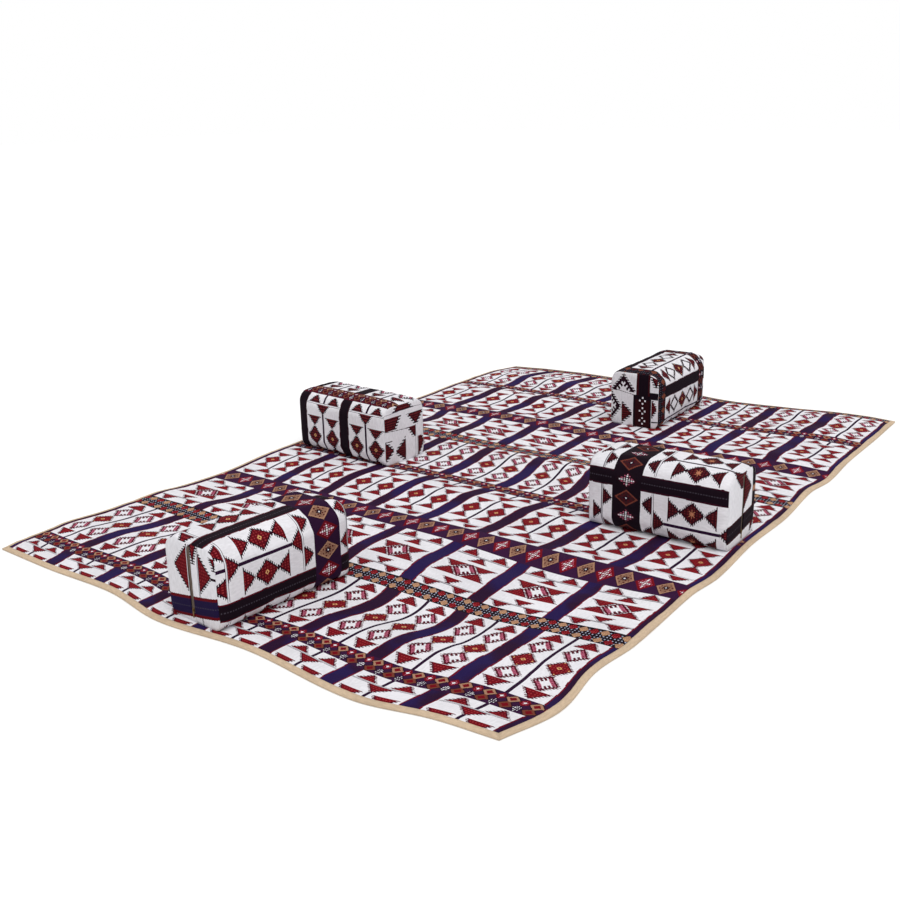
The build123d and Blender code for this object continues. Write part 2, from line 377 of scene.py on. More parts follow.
def wedgeRow(x, y, rays, plain):
    side = abs(x)
    height = abs(y)
    column = side - weave["columnPlace"]
    red = motif(y, lozenge(column, y, 0.038, 0.043), 0.038)
    point = wedge(column, height, 0.043, 0.085, 0.036)
    middle = wedge(x, height, 0.095, 0.135, 0.036)
    small = wedge(side - 0.054, height, 0.18, 0.143, 0.031)
    body, rim = pile([red, point, middle, small])
    nothing = side < 0
    return {
        "Body": body,
        "Rim": rim,
        "Pink": nothing,
        "Open": nothing,
        "Gold": flower(column, y, rays),
        "Line": (side < 0.0052) & ((height < 0.095) | (y > 0.142)),
        "Hairline": hairlines(side, height, 0.139),
    }


def bandGroup(name, build):
    # A band across the whole cloth, from the place on it and three of its dyes
    takes = [("X", "Float", 0.0), ("Y", "Float", 0.0)]
    takes += [("Ground Dye", "Color", None), ("Crimson Dye", "Color", None), ("Tan Dye", "Color", None)]
    takes += [("Outlined", "Float", 0.0)]
    tree, taken, end = newGroup(name, takes, [("Color", "Color")])
    inputs = [taken[label] for label in ("Ground Dye", "Crimson Dye", "Tan Dye", "Outlined")]
    give(tree, end, Color=build(tree, taken["X"], taken["Y"], *inputs))
    print("woven:", name)
    return tree


def darkBand(tree, x, y, ground, crimson, tan, outlined):
    # Tan lozenges, filled or outlined, and crimson ones with a dotted cross, by turns
    pitch = weave["repeatWidth"] / 2
    toCrimson = abs((x / pitch + 0.5).part() - 0.5) * pitch
    toTan = pitch / 2 - toCrimson
    tanInside = lozenge(toTan, y, 0.031, 0.047)
    crimsonInside = lozenge(toCrimson, y, 0.03, 0.044)
    dots = ((toCrimson / 0.0068 + 0.3).part() < 0.6) & ((abs(y) / 0.0088 + 0.3).part() < 0.6)
    rays = (lozenge(toCrimson, y, 0.02, 0.01) > 0) | (lozenge(toCrimson, y, 0.008, 0.032) > 0)
    spread = (lozenge(toCrimson, y, 0.022, 0.032) > 0) & dots
    star = (lozenge(toTan, y, 0.013, 0.007) > 0) | (lozenge(toTan, y, 0.006, 0.015) > 0)
    specks = ((toTan / 0.009 + 0.5).part() < 0.5) & ((abs(y) / 0.011 + 0.5).part() < 0.5)
    inner = (tanInside > 0.2) & (tanInside < 0.85) & specks
    colour = blendColour(tree, (crimsonInside > 0) * (1 - outlined * 0.85), ground, crimson)
    colour = blendColour(tree, spread, colour, dyes["pink"])
    colour = blendColour(tree, rays & dots, colour, dyes["ground"])
    colour = blendColour(tree, tanInside > 0, colour, dyes["outline"])
    colour = blendColour(tree, tanInside > 0.07, colour, tan)
    colour = blendColour(tree, (tanInside > 0.24) * (outlined * 0.5 + 0.35), colour, dyes["outline"])
    colour = blendColour(tree, inner, colour, dyes["crimsonDeep"])
    colour = blendColour(tree, star, colour, dyes["outline"])
    return blendColour(tree, lozenge(toTan, y, 0.0035, 0.0035) > 0, colour, dyes["ground"])


def figureBand(tree, x, y, ground, crimson, tan, outlined):
    # Tan figure-eights, thinner where outlined, with crimson lozenges between them
    pitch = weave["repeatWidth"] / 4
    toEight = abs((x / pitch).part() - 0.5) * pitch
    toLozenge = pitch / 2 - toEight
    eight = lozenge(toEight, abs(y) - 0.0145, 0.02, 0.0185)
    knot = lozenge(toLozenge, abs(y) - 0.0145, 0.016, 0.0165)
    upper = y > 0
    dots = ((toLozenge / 0.006 + 0.3).part() < 0.5) & ((y / 0.007).part() < 0.5)
    colour = blendColour(tree, knot > 0, ground, crimson)
    colour = blendColour(tree, (knot > 0) & ~upper, colour, dyes["plum"])
    colour = blendColour(tree, (knot > 0.3) & upper & dots, colour, dyes["pink"])
    colour = blendColour(tree, (knot > 0.7) & upper, colour, dyes["ground"])
    colour = blendColour(tree, (knot > 0.2) & ~upper & dots, colour, dyes["ground"])
    ringDye = blendColour(tree, upper, dyes["russet"], tan)
    colour = blendColour(tree, eight > -0.1, colour, dyes["outline"])
    colour = blendColour(tree, eight > 0.1, colour, ringDye)
    return blendColour(tree, eight > 0.5 - outlined * 0.15, colour, crimson)


def dotBand(tree, x, y, ground, crimson, tan, outlined):
    # Red and tan lozenges on both edges, with pale dots between them, fewer where outlined
    pitch = weave["repeatWidth"] / 8
    across = ((x / pitch).part() - 0.5) * pitch
    tanHere = ((x / pitch).floor() / 2).part() > 0.25
    gem = lozenge(across, abs(y) - 0.0205, 0.0145, 0.0155)
    aside = pitch / 2 - abs(across)
    dots = ((x / 0.0104).part() < 0.4) & ((y / 0.0115).part() < 0.4)
    flecks = ((x / 0.006).part() < 0.4) & ((y / 0.008).part() < 0.5)
    spread = (lozenge(aside, y, 0.016, 0.034) > 0) & dots
    colour = blendColour(tree, spread * (1 - outlined * 0.8), ground, dyes["dot"])
    gemColour = blendColour(tree, tanHere, crimson, tan)
    fleckColour = blendColour(tree, tanHere, dyes["fleck"], dyes["gold"])
    fleckColour = blendColour(tree, outlined * 0.8, fleckColour, gemColour)
    gemColour = blendColour(tree, flecks, gemColour, fleckColour)
    return blendColour(tree, gem > 0, colour, gemColour)


def threadGroup():
    # Rounded threads crossing over and under, and the spot's place snapped to the nearest thread
    takes = [("Cloth", "Vector", None), ("Pitch", "Float", weave["threadStep"])]
    tree, taken, end = newGroup("threads", takes, [("Height", "Float"), ("X", "Float"), ("Y", "Float")])
    x, y = split(tree, taken["Cloth"])
    pitch = taken["Pitch"]
    across = x / pitch
    along = y / pitch
    over = ((across.floor() + along.floor()) / 2).part() > 0.25
    roundAcross = 1 - abs(across.part() - 0.5) * 2
    roundAlong = 1 - abs(along.part() - 0.5) * 2
    height = roundAcross * over + roundAlong * ~over
    give(tree, end, Height=height, X=(across.floor() + 0.5) * pitch, Y=(along.floor() + 0.5) * pitch)
    return tree


def unevenDyeGroup():
    # Slight cloudiness of dyed or undyed cloth: multiplies a colour
    takes = [("Cloth", "Vector", None), ("Color", "Color", None), ("Amount", "Float", 0.1)]
    tree, taken, end = newGroup("unevenDye", takes, [("Color", "Color")])
    broad = noiseValue(tree, taken["Cloth"], 5.0, 3.0)
    fine = noiseValue(tree, taken["Cloth"], 160.0, 2.0, (1, 0.35, 1))
    cloudy = ramp(tree, broad * 0.5 + fine * 0.5, 0.35, 0.65)
    shade = blendColour(tree, taken["Amount"] * ~cloudy, taken["Color"], (0.0, 0.0, 0.0, 1.0))
    give(tree, end, Color=shade)
    return tree


def saduGroup(threads, rows, bands):
    # The whole patterned cloth from a place on it, in metres
    takes = [("Cloth", "Vector", None), ("Stripe Dye", "Color", dyes["indigo"]), ("Dashes", "Float", 0.0)]
    takes += [("Band Dye", "Color", dyes["aubergine"]), ("Crimson Dye", "Color", dyes["crimson"])]
    takes += [("Tan Dye", "Color", dyes["tan"]), ("Rim Dye", "Color", dyes["outline"])]
    # The last dye is painted shade: it darkens the stripes in patches
    takes += [("Patch Dye", "Color", dyes["ink"])]
    takes += [(label, "Float", 0.0) for label in ("Rays", "Plain", "Outlined")]
    tree, taken, end = newGroup("saduCloth", takes, [("Color", "Color"), ("Height", "Float")])
    thread = useGroup(tree, threads, Cloth=taken["Cloth"])
    u, v = thread["X"], thread["Y"]
    x = ((u / weave["repeatWidth"]).part() - 0.5) * weave["repeatWidth"]
    t = ((v - weave["firstBand"]) / weave["repeatLength"]).part() * weave["repeatLength"]
    crimson = taken["Crimson Dye"]
    flecks = ((v / weave["fleckPitch"]).part() < 0.4) & ((u / 0.0085).part() < 0.45)
    masks = {}
    for name, group in rows.items():
        middle, half = weave[name]
        here = abs(t - middle) < half
        row = useGroup(tree, group, X=x, Y=t - middle, Rays=taken["Rays"], Plain=taken["Plain"])
        for label, value in row.items():
            value = value & here
            masks[label] = masks[label] | value if label in masks else value
    deeper = blendColour(tree, 0.45, crimson, dyes["outline"])
    fleck = blendColour(tree, 0.4 - taken["Rays"] * 0.2, crimson, dyes["fleck"])
    gold = blendColour(tree, taken["Rays"], dyes["gold"], dyes["copper"])
    colour = blendColour(tree, masks["Hairline"] * 0.9, dyes["ground"], dyes["hairline"])
    colour = blendColour(tree, masks["Line"], colour, dyes["plum"])
    colour = blendColour(tree, masks["Rim"], colour, taken["Rim Dye"])
    shaded = ramp(tree, noiseValue(tree, taken["Cloth"], 40.0, 3.0), 0.45, 0.65)
    colour = blendColour(tree, masks["Body"], colour, blendColour(tree, shaded * 0.7, crimson, deeper))
    colour = blendColour(tree, masks["Body"] & flecks, colour, fleck)
    colour = blendColour(tree, masks["Open"], colour, dyes["ground"])
    colour = blendColour(tree, masks["Pink"], colour, dyes["pink"])
    colour = blendColour(tree, masks["Gold"] & masks["Body"], colour, gold)
    side = weave["repeatWidth"] / 2 - abs(x)
    strayed = side + (noiseValue(tree, taken["Cloth"], 14.0) - 0.5) * 0.008   # edges waver a little
    edge = strayed < weave["stripeHalf"] + weave["stripeEdge"]
    stripe = strayed < weave["stripeHalf"]
    # painted shade: noise patches darken the stripes, standing for the shadow sides of ripples
    paintedShadePatches = ramp(tree, noiseValue(tree, taken["Cloth"], 4.5, 3.0), 0.42, 0.56)
    dark = blendColour(tree, paintedShadePatches, taken["Stripe Dye"], taken["Patch Dye"])
    dash = (side < 0.0016) & ((v / 0.009).part() < 0.5) & taken["Dashes"]
    colour = blendColour(tree, edge, colour, blendColour(tree, 0.1, crimson, dyes["indigo"]))
    colour = blendColour(tree, stripe, colour, dark)
    colour = blendColour(tree, dash * 0.5, colour, dyes["hairline"])
    raised = masks["Rim"] | masks["Pink"] | edge
    for name, group in bands.items():
        middle, half = weave[name]
        offset = ((v - weave["firstBand"] - middle) / weave["repeatLength"] + 0.5).part() - 0.5
        offset = offset * weave["repeatLength"]
        here = abs(offset) < half
        ground = dyes["ink"] if name == "dotRow" else taken["Band Dye"]
        band = useGroup(tree, group, X=u, Y=offset, Ground_Dye=ground, Crimson_Dye=crimson,
                        Tan_Dye=taken["Tan Dye"], Outlined=taken["Outlined"])
        colour = blendColour(tree, here, colour, band["Color"])
        raised = raised | here
    give(tree, end, Color=colour, Height=thread["Height"] * 0.6 + raised * 0.4)
    return tree


def sideWedge(y, z, base, apex, middle, half, coarse=1.0):
    # A triangle whose straight base stands upright
    share = (y - base) / (apex - base)
    return motif(z, 1 - share - abs(z - middle) / half, half, (share > 0) & (share < 1), coarse)


endPanels = {
    # The cloth of each armrest's ends, in metres across and up. Triangles on an upright base (sides): base,
    # apex, middle, half height; on a level one (wedges): middle, apex, base, half width. Half lozenges with
    # a white middle: the middle of the base, reach across and up. Bars below the triangles and covers above
    # them: left, right, foot, top, dye. Lines: left, right, height at the left, slope, dye. Dots: middle
    # across, middle up, step, top. Stripe: slope, middle, half height, edge, dye, dye of its edge.
    # Coarse: how much larger the teeth are than on the sleeves.
    # Each end's red is a darkened crimson, painted shade
    "near": {"red": "garnet", "coarse": 1.3, "sides": [(-0.01, -0.075, 0.17, 0.07), (0.047, 0.103, 0.168, 0.058)],
             "wedges": [(0.02, 0.185, 0.25, 0.016), (0.118, 0.185, 0.235, 0.012)],
             "bars": [(0.1, 0.125, 0.161, 0.169, "outline"), (0.04, 0.042, 0.0, 0.25, "hairline"),
                      (0.044, 0.046, 0.0, 0.25, "hairline")],
             "stripe": (0.17, 0.0513, 0.024, 0.01, "midnight", "garnet")},
    "right": {"red": "claret", "coarse": 1.0, "sides": [(0.005, 0.07, 0.183, 0.063), (0.078, 0.125, 0.047, 0.03)],
              "wedges": [(-0.02, 0.195, 0.25, 0.05)],
              "bars": [(0.082, 0.125, 0.09, 0.25, "ink"), (0.085, 0.125, 0.158, 0.178, "tan")],
              "stripe": (0.1, 0.07, 0.026, 0.006, "ink", "claret")},
    "left": {"red": "claret", "coarse": 1.85,
             "sides": [(0.003, -0.06, 0.052, 0.047), (0.083, 0.125, 0.063, 0.06), (-0.125, -0.074, 0.063, 0.043)],
             "wedges": [(-0.009, 0.29, 0.222, 0.056), (-0.095, 0.103, 0.2035, 0.062), (0.069, 0.148, 0.2, 0.05),
                        (0.0606, 0.093, 0.1416, 0.039)],
             "bars": [(0.066, 0.068, 0.0, 0.147, "hairline"), (0.078, 0.08, 0.0, 0.147, "hairline")],
             "covers": [(-0.125, -0.05, 0.107, 0.151, "ground"), (0.068, 0.11, 0.09, 0.1416, "ground")],
             "lines": [(-0.125, 0.125, 0.2206, 0.02, "hairline"), (-0.125, 0.022, 0.149, -0.068, "outline")]},
    "far": {"red": "claret", "coarse": 1.7,
            "sides": [(-0.065, -0.011, 0.06, 0.048), (0.089, 0.117, 0.094, 0.042)],
            "wedges": [(0.11, 0.19, 0.245, 0.022)],
            "openWedges": [(-0.058, 0.16, 0.06, 0.074)], "openSides": [(-0.125, 0.085, 0.0525, 0.066)],
            "bars": [(0.011, 0.08, 0.148, 0.25, "claret"), (0.022, 0.07, 0.148, 0.25, "ink"),
                     (-0.005, 0.089, 0.0, 0.15, "ink"), (0.006, 0.08, 0.0, 0.13, "oxblood"),
                     (0.08, 0.125, 0.136, 0.168, "ink"), (0.09, 0.125, 0.027, 0.034, "ink")],
            "lines": [(-0.125, 0.0, 0.169, -0.163, "outline")],
            "dots": [(0.0435, 0.0315, 0.0473, 0.15)]},
}


def openMotif(tree, colour, y, z, reachY, reachZ, within, coarse):
    # Half of a toothed lozenge whose white middle runs out in spikes, laid over a colour
    inside = lozenge(y, z, reachY, reachZ)
    run = abs(y) / reachY - abs(z) / reachZ
    strokes = (run * 2.5 + 0.25).part() > 0.45
    rim = motif(z, inside, reachY, within, coarse)[1]
    light = within & (inside > 0.28) & ((inside > 0.62) | ~strokes)
    colour = blendColour(tree, rim, colour, dyes["outline"])
    return blendColour(tree, light, colour, dyes["ground"]), rim


def layBars(tree, colour, y, z, bars):
    for left, right, foot, top, barDye in bars:
        here = (y > left) & (y < right) & (z > foot) & (z < top)
        colour = blendColour(tree, here, colour, dyes[barDye])
    return colour


def endGroup(name, threads, plan):
    # The cloth of an armrest's end, from a place across and up it
    tree, taken, end = newGroup(name, [("Cloth", "Vector", None)], [("Color", "Color"), ("Height", "Float")])
    thread = useGroup(tree, threads, Cloth=taken["Cloth"])
    y, z = thread["X"], thread["Y"]
    coarse = plan["coarse"]
    made = [sideWedge(y, z, *side, coarse) for side in plan["sides"]]
    made += [wedge(y - middle, z, apex, base, half, coarse) for middle, apex, base, half in plan["wedges"]]
    body, rim = pile(made)
    flecks = ((z / weave["fleckPitch"]).part() < 0.4) & ((y / 0.0085).part() < 0.45)
    colour = layBars(tree, dyes["ground"], y, z, plan["bars"])
    for middle, height, step, top in plan.get("dots", ()):
        away = abs(((z - height) / step + 0.5).part() - 0.5) * step   # from the nearest pair of side dots
        inner = (abs(y - middle) < 0.004) & (abs(away - 0.0135) < 0.004)
        outer = (abs(abs(y - middle) - 0.0135) < 0.004) & (away < 0.004)
        colour = blendColour(tree, (inner | outer) & (z < top), colour, dyes["ground"])
    colour = blendColour(tree, rim, colour, dyes["outline"])
    colour = blendColour(tree, body, colour, dyes[plan["red"]])
    colour = blendColour(tree, (body & flecks) * 0.3, colour, dyes["fleck"])
    colour = layBars(tree, colour, y, z, plan.get("covers", ()))
    for middle, base, half, high in plan.get("openWedges", ()):
        colour, toothed = openMotif(tree, colour, y - middle, z - base, half, high, z > base, coarse)
        rim = rim | toothed
    for base, middle, reach, half in plan.get("openSides", ()):
        colour, toothed = openMotif(tree, colour, y - base, z - middle, reach, half, y > base, coarse)
        rim = rim | toothed
    for left, right, height, slope, lineDye in plan.get("lines", ()):
        here = (abs(z - height - (y - left) * slope) < 0.0013) & (y > left) & (y < right)
        colour = blendColour(tree, here * 0.9, colour, dyes[lineDye])
    if "stripe" in plan:
        slope, middle, half, edge, stripeDye, edgeDye = plan["stripe"]
        height = abs(z - y * slope - middle)
        dash = (height < 0.0016) & ((y / 0.012).part() < 0.5)
        colour = blendColour(tree, height < half + edge, colour, dyes[edgeDye])
        colour = blendColour(tree, height < half, colour, dyes[stripeDye])
        colour = blendColour(tree, dash * 0.5, colour, dyes["hairline"])
    give(tree, end, Color=colour, Height=thread["Height"] * 0.6 + rim * 0.4)
    return tree


# Materials

def newMaterial(name, roughness, metallic=0.0, specular=0.5):
    material = bpy.data.materials.new(name)
    material.use_nodes = True
    tree = material.node_tree
    shader = tree.nodes["Principled BSDF"]
    shader.inputs["Roughness"].default_value = roughness
    shader.inputs["Metallic"].default_value = metallic
    shader.inputs["Specular IOR Level"].default_value = specular
    coordinates = tree.nodes.new("ShaderNodeTexCoord")
    places = {"UV": Yarn(tree, coordinates.outputs["UV"]), "Object": Yarn(tree, coordinates.outputs["Object"])}
    return material, tree, shader, places


def bumpInto(tree, shader, height, strength, distance):
    node = tree.nodes.new("ShaderNodeBump")
    node.inputs["Strength"].default_value = strength
    node.inputs["Distance"].default_value = distance
    tree.links.new(height.socket, node.inputs["Height"])
    tree.links.new(node.outputs[0], shader.inputs["Normal"])


weavings = {
    # How the cloth of the rug and of each cover differs; the covers' darker crimsons are painted shade
    "rug": {"Stripe_Dye": "indigo", "Band_Dye": "aubergine", "Crimson_Dye": "crimson", "Tan_Dye": "tan",
            "Rim_Dye": "maroon", "Patch_Dye": "plum"},
    "cover": {"Stripe_Dye": "ink", "Band_Dye": "plum", "Crimson_Dye": "garnet", "Tan_Dye": "tan",
              "Dashes": 1.0},
    "coverDark": {"Stripe_Dye": "ink", "Band_Dye": "ink", "Crimson_Dye": "claret", "Tan_Dye": "russet",
                  "Dashes": 1.0, "Rays": 1.0, "Outlined": 1.0},
    "coverLeft": {"Stripe_Dye": "ink", "Band_Dye": "maroon", "Crimson_Dye": "claret", "Tan_Dye": "tan"},
    "coverFar": {"Stripe_Dye": "ink", "Band_Dye": "ink", "Crimson_Dye": "claret", "Tan_Dye": "russet",
                 "Plain": 1.0, "Outlined": 1.0},
}


def saduMaterial(name, sadu, uneven, weaving):
    material, tree, shader, places = newMaterial(name, 0.92, specular=0.1)
    values = {label: dyes[value] if label.endswith("Dye") else value for label, value in weaving.items()}
    cloth = useGroup(tree, sadu, Cloth=places["UV"], **values)
    colour = useGroup(tree, uneven, Cloth=places["UV"], Color=cloth["Color"], Amount=0.14)["Color"]
    tree.links.new(colour.socket, shader.inputs["Base Color"])
    bumpInto(tree, shader, cloth["Height"], 0.5, 0.0009)
    return material


def endMaterial(name, pattern, uneven):
    material, tree, shader, places = newMaterial(name, 0.92, specular=0.1)
    cloth = useGroup(tree, pattern, Cloth=places["UV"])
    colour = useGroup(tree, uneven, Cloth=places["UV"], Color=cloth["Color"], Amount=0.14)["Color"]
    tree.links.new(colour.socket, shader.inputs["Base Color"])
    bumpInto(tree, shader, cloth["Height"], 0.5, 0.0009)
    return material


def plainClothMaterial(name, threads, uneven, colour, pitch, place="UV", amount=0.2):
    material, tree, shader, places = newMaterial(name, 0.93, specular=0.15)
    thread = useGroup(tree, threads, Cloth=places[place], Pitch=pitch)
    # painted shade: each thread darkens towards its edges, in the grooves between threads
    between = blendColour(tree, ~thread["Height"] * 0.3, colour, tuple(0.55 * c for c in colour[:3]) + (1.0,))
    shade = useGroup(tree, uneven, Cloth=places[place], Color=between, Amount=amount)["Color"]
    tree.links.new(shade.socket, shader.inputs["Base Color"])
    bumpInto(tree, shader, thread["Height"], 0.45, pitch * 0.4)
    return material


def spongeMaterial(name, uneven, colour, scale):
    material, tree, shader, places = newMaterial(name, 0.97)
    cells = tree.nodes.new("ShaderNodeTexVoronoi")
    cells.inputs["Scale"].default_value = scale
    tree.links.new(places["Object"].socket, cells.inputs["Vector"])
    hollow = ramp(tree, Yarn(tree, cells.outputs["Distance"]), 0.0, 0.7)
    shade = useGroup(tree, uneven, Cloth=places["Object"], Color=colour, Amount=0.15)["Color"]
    tree.links.new(shade.socket, shader.inputs["Base Color"])
    bumpInto(tree, shader, hollow, 0.6, 0.0015)
    return material


def metalMaterial(name, uneven):
    material, tree, shader, places = newMaterial(name, 0.42, metallic=1.0)
    shade = useGroup(tree, uneven, Cloth=places["Object"], Color=dye(168, 140, 92), Amount=0.55)["Color"]
    tree.links.new(shade.socket, shader.inputs["Base Color"])
    rub = noiseValue(tree, places["Object"], 400.0, 3.0)
    tree.links.new((rub * 0.3 + 0.28).socket, shader.inputs["Roughness"])
    bumpInto(tree, shader, rub, 0.15, 0.0002)
    return material


threads = threadGroup()
uneven = unevenDyeGroup()
motifRows = {
    "lozengeRow": motifRowGroup("lozengeRow", lozengeRow),
    "starRow": motifRowGroup("starRow", starRow),
    "wedgeRow": motifRowGroup("wedgeRow", wedgeRow),
}
bandRows = {
    "darkRow": bandGroup("darkBand", darkBand),
    "dotRow": bandGroup("dotBand", dotBand),
    "figureRow": bandGroup("figureBand", figureBand),
}
sadu = saduGroup(threads, motifRows, bandRows)
materials = {
    "binding": plainClothMaterial("bindingTape", threads, uneven, dyes["binding"], 0.0012),
    "backing": plainClothMaterial("backingCotton", threads, uneven, dyes["backing"], 0.0015),
    "wadding": spongeMaterial("needledWadding", uneven, dyes["wadding"], 220.0),
    "foam": spongeMaterial("cushionFoam", uneven, dyes["foam"], 340.0),
    "zipTape": plainClothMaterial("zipTape", threads, uneven, dyes["zipTape"], 0.0008, "Object"),
    "zipTeeth": plainClothMaterial("zipTeeth", threads, uneven, dyes["zipTeeth"], 0.0015, "Object", 0.3),
    "thread": plainClothMaterial("sewingThread", threads, uneven, dyes["thread"], 0.0006, "Object"),
    "brass": metalMaterial("dulledBrass", uneven),
}
for cloth, weaving in weavings.items():
    materials[cloth] = saduMaterial(cloth + "Weave", sadu, uneven, weaving)
for side, plan in endPanels.items():
    pattern = endGroup(side + "EndCloth", threads, plan)
    materials[side + "End"] = endMaterial(side + "EndWeave", pattern, uneven)
print("materials made:", len(materials))


# The rug

rug = {
    "width": 2.0,
    "length": 3.08,
    "gridStep": 0.0125,
    "underStep": 0.04,         # grid of the wadding and the backing
    "inTape": 0.0013,          # inset of the layers that lie inside the binding
    "layerGap": 0.0003,
    "faceThickness": 0.002,
    "padLow": 0.0013,
    "backingThickness": 0.001,
    "sideWander": 0.05,   # how far the edges stray, as in the shares below
    "endWander": 0.06,
    "near": [(0.14, 0.15), (0.29, 0.1), (0.43, 0.85), (0.6, 0.45), (0.8, 1.0), (0.91, 0.25)],
    "right": [(0.06, 1.0), (0.13, 0.5), (0.19, 0.8), (0.31, 0.6), (0.36, 0.85), (0.46, 0.5),
              (0.55, 0.6), (0.65, 0.2), (0.7, 0.5), (0.79, 0.2), (0.9, 0.15)],
    "far": [(0.1, 0.6), (0.24, 1.0), (0.44, 0.3), (0.6, -0.95), (0.74, -1.0), (0.86, 0.1), (0.94, 0.3)],
    "left": [(0.05, 0.4), (0.19, 0.1), (0.31, -0.4), (0.4, 0.25), (0.6, 0.5), (0.78, 0.85),
             (0.88, 1.0), (0.95, 0.8)],
    "flatHeight": 0.0096,      # of the face cloth above the floor
    "edgeThinning": 0.0036,    # how much lower it lies at the very edge
    "thinningReach": 0.03,
    "patternScale": 1.008,     # the cloth is woven a little closer across than its stripe spacing
    "nearShift": 0.026,        # how much closer the weave lies at the near edge, and how far in
    "nearReach": 0.12,
    "edgeHold": 0.15,          # how far in from its edges the cloth lies still
    "ridgeHeight": 0.016,
    "ridgeHalfWidth": 0.085,
    "ridgeHalfLength": 0.42,
    "ridgeFade": 0.12,
    # Ridges of loose cloth: across share, along share, half length, height and slant shares
    "ridges": [
        (-0.36, -0.41, 0.8, 0.7, 0.0), (0.3, -0.43, 0.8, 0.8, -0.05), (-0.3, -0.29, 1.0, 0.9, 0.05),
        (0.31, -0.28, 1.0, 1.0, 0.0), (0.1, -0.2, 1.1, 0.8, 0.04), (0.36, -0.19, 0.6, 0.7, 0.0),
        (-0.05, -0.09, 0.9, 0.7, -0.04), (0.08, 0.06, 1.0, 0.9, 0.03), (-0.34, 0.11, 0.8, 0.7, 0.0),
        (0.3, 0.13, 0.9, 0.9, 0.05), (-0.2, 0.21, 0.9, 0.8, 0.0), (0.36, 0.25, 0.7, 0.9, 0.0),
        (-0.3, 0.32, 0.8, 0.8, -0.05), (0.37, 0.38, 0.6, 0.8, 0.04), (-0.33, 0.43, 0.7, 0.6, 0.0),
        (0.33, 0.46, 0.7, 0.7, 0.0),
    ],
    # Where the cloth has slid sideways: place, reach across and along, and how far, all in metres
    "slides": [
        (0.35, 0.75, 0.45, 0.35, 0.038), (0.25, 0.12, 0.3, 0.12, -0.028), (1.3, 0.42, 0.35, 0.15, 0.038),
        (1.15, 0.76, 0.35, 0.12, -0.03), (0.75, 0.45, 0.2, 0.15, 0.03), (0.75, 0.78, 0.12, 0.08, -0.035),
        (1.0, 1.5, 0.4, 0.2, 0.04), (1.4, 1.45, 0.35, 0.15, 0.025), (0.5, 1.15, 0.2, 0.12, -0.015),
        (0.6, 2.1, 0.5, 0.15, -0.015), (0.25, 2.0, 0.15, 0.12, 0.028), (0.25, 2.3, 0.2, 0.1, -0.018),
        (0.25, 2.9, 0.3, 0.15, -0.03), (0.75, 2.75, 0.12, 0.1, 0.025), (0.75, 3.0, 0.15, 0.1, 0.03),
        (1.0, 2.7, 0.1, 0.06, -0.03), (1.45, 0.45, 0.3, 0.15, 0.029), (1.52, 0.74, 0.3, 0.12, 0.04),
    ],
    # Where it has slid towards the near edge, in the same form
    "creeps": [(1.0, 0.45, 0.55, 0.3, -0.035), (1.65, 0.76, 0.3, 0.15, -0.035), (1.7, 0.935, 0.2, 0.06, -0.01),
               (1.45, 0.45, 0.3, 0.15, -0.019), (1.52, 0.76, 0.35, 0.15, -0.018)],
}

armrests = {
    # Middle on the rug in metres, turn of the zip end from +X in degrees, and where each cover was cut
    # from the cloth: side is the long side that girths are measured from, u and v the cloth at its foot
    "near": {"place": (-0.0144, -1.297, -94.2), "cloth": "cover", "side": 1,
             "warp": "along", "u": -0.051, "v": 1.34, "from": 1, "step": -1, "seed": 3},
    "right": {"place": (0.7435, -0.1517, 1.1), "cloth": "coverDark", "side": -1,
              "warp": "along", "u": -0.178, "v": 0.7875, "from": -1, "step": 1, "seed": 11},
    "left": {"place": (-0.7052, -0.0638, 176.2), "cloth": "coverLeft", "side": 1,
             "warp": "around", "u": -0.03, "v": 1.111, "from": 1, "step": 1, "seed": 23},
    "far": {"place": (0.0732, 1.097, 91.8), "cloth": "coverFar", "side": -1,
            "warp": "along", "u": -0.155, "v": 0.5775, "from": -1, "step": -1, "seed": 37},
}

cushion = {
    "length": 0.5,
    "width": 0.25,
    "height": 0.25,
    "quad": 0.0125,
    "topRadius": 0.042,
    "footRadius": 0.024,
    "crown": 0.005,
    "endCrown": 0.0045,
    "drawIn": 0.005,
    "clothThickness": 0.002,
    "zipHalf": 0.009,
    "zipLow": 0.03,
    "zipHigh": 0.23,
    "openingTop": 0.24,   # of the zip's opening in the flat panel, which ends up 4% lower
    "lift": 0.0099,       # underside of the armrests above the floor
    "pressure": 4.0,
    "frames": 20,
    "mostSwell": 0.006,
    "seamDip": 0.0028,
}


def between(shares, share):
    # A smooth curve through given (place, amount) shares, 0 at both ends
    points = [(0.0, 0.0)] + list(shares) + [(1.0, 0.0)]
    share = min(max(share, 0.0), 1.0)
    for index in range(len(points) - 1):
        (x0, y0), (x1, y1) = points[index], points[index + 1]
        if share <= x1:
            before = points[index - 1] if index else points[index]
            after = points[index + 2] if index + 2 < len(points) else points[index + 1]
            span = x1 - x0
            slope0 = (y1 - before[1]) / (x1 - before[0]) * span
            slope1 = (after[1] - y0) / (after[0] - x0) * span
            s = (share - x0) / span
            return (y0 * (1 + 2 * s) * (1 - s) ** 2 + slope0 * s * (1 - s) ** 2
                    + y1 * s * s * (3 - 2 * s) - slope1 * s * s * (1 - s))
    return 0.0


def ease(share):
    share = min(max(share, 0.0), 1.0)
    return share * share * (3 - 2 * share)


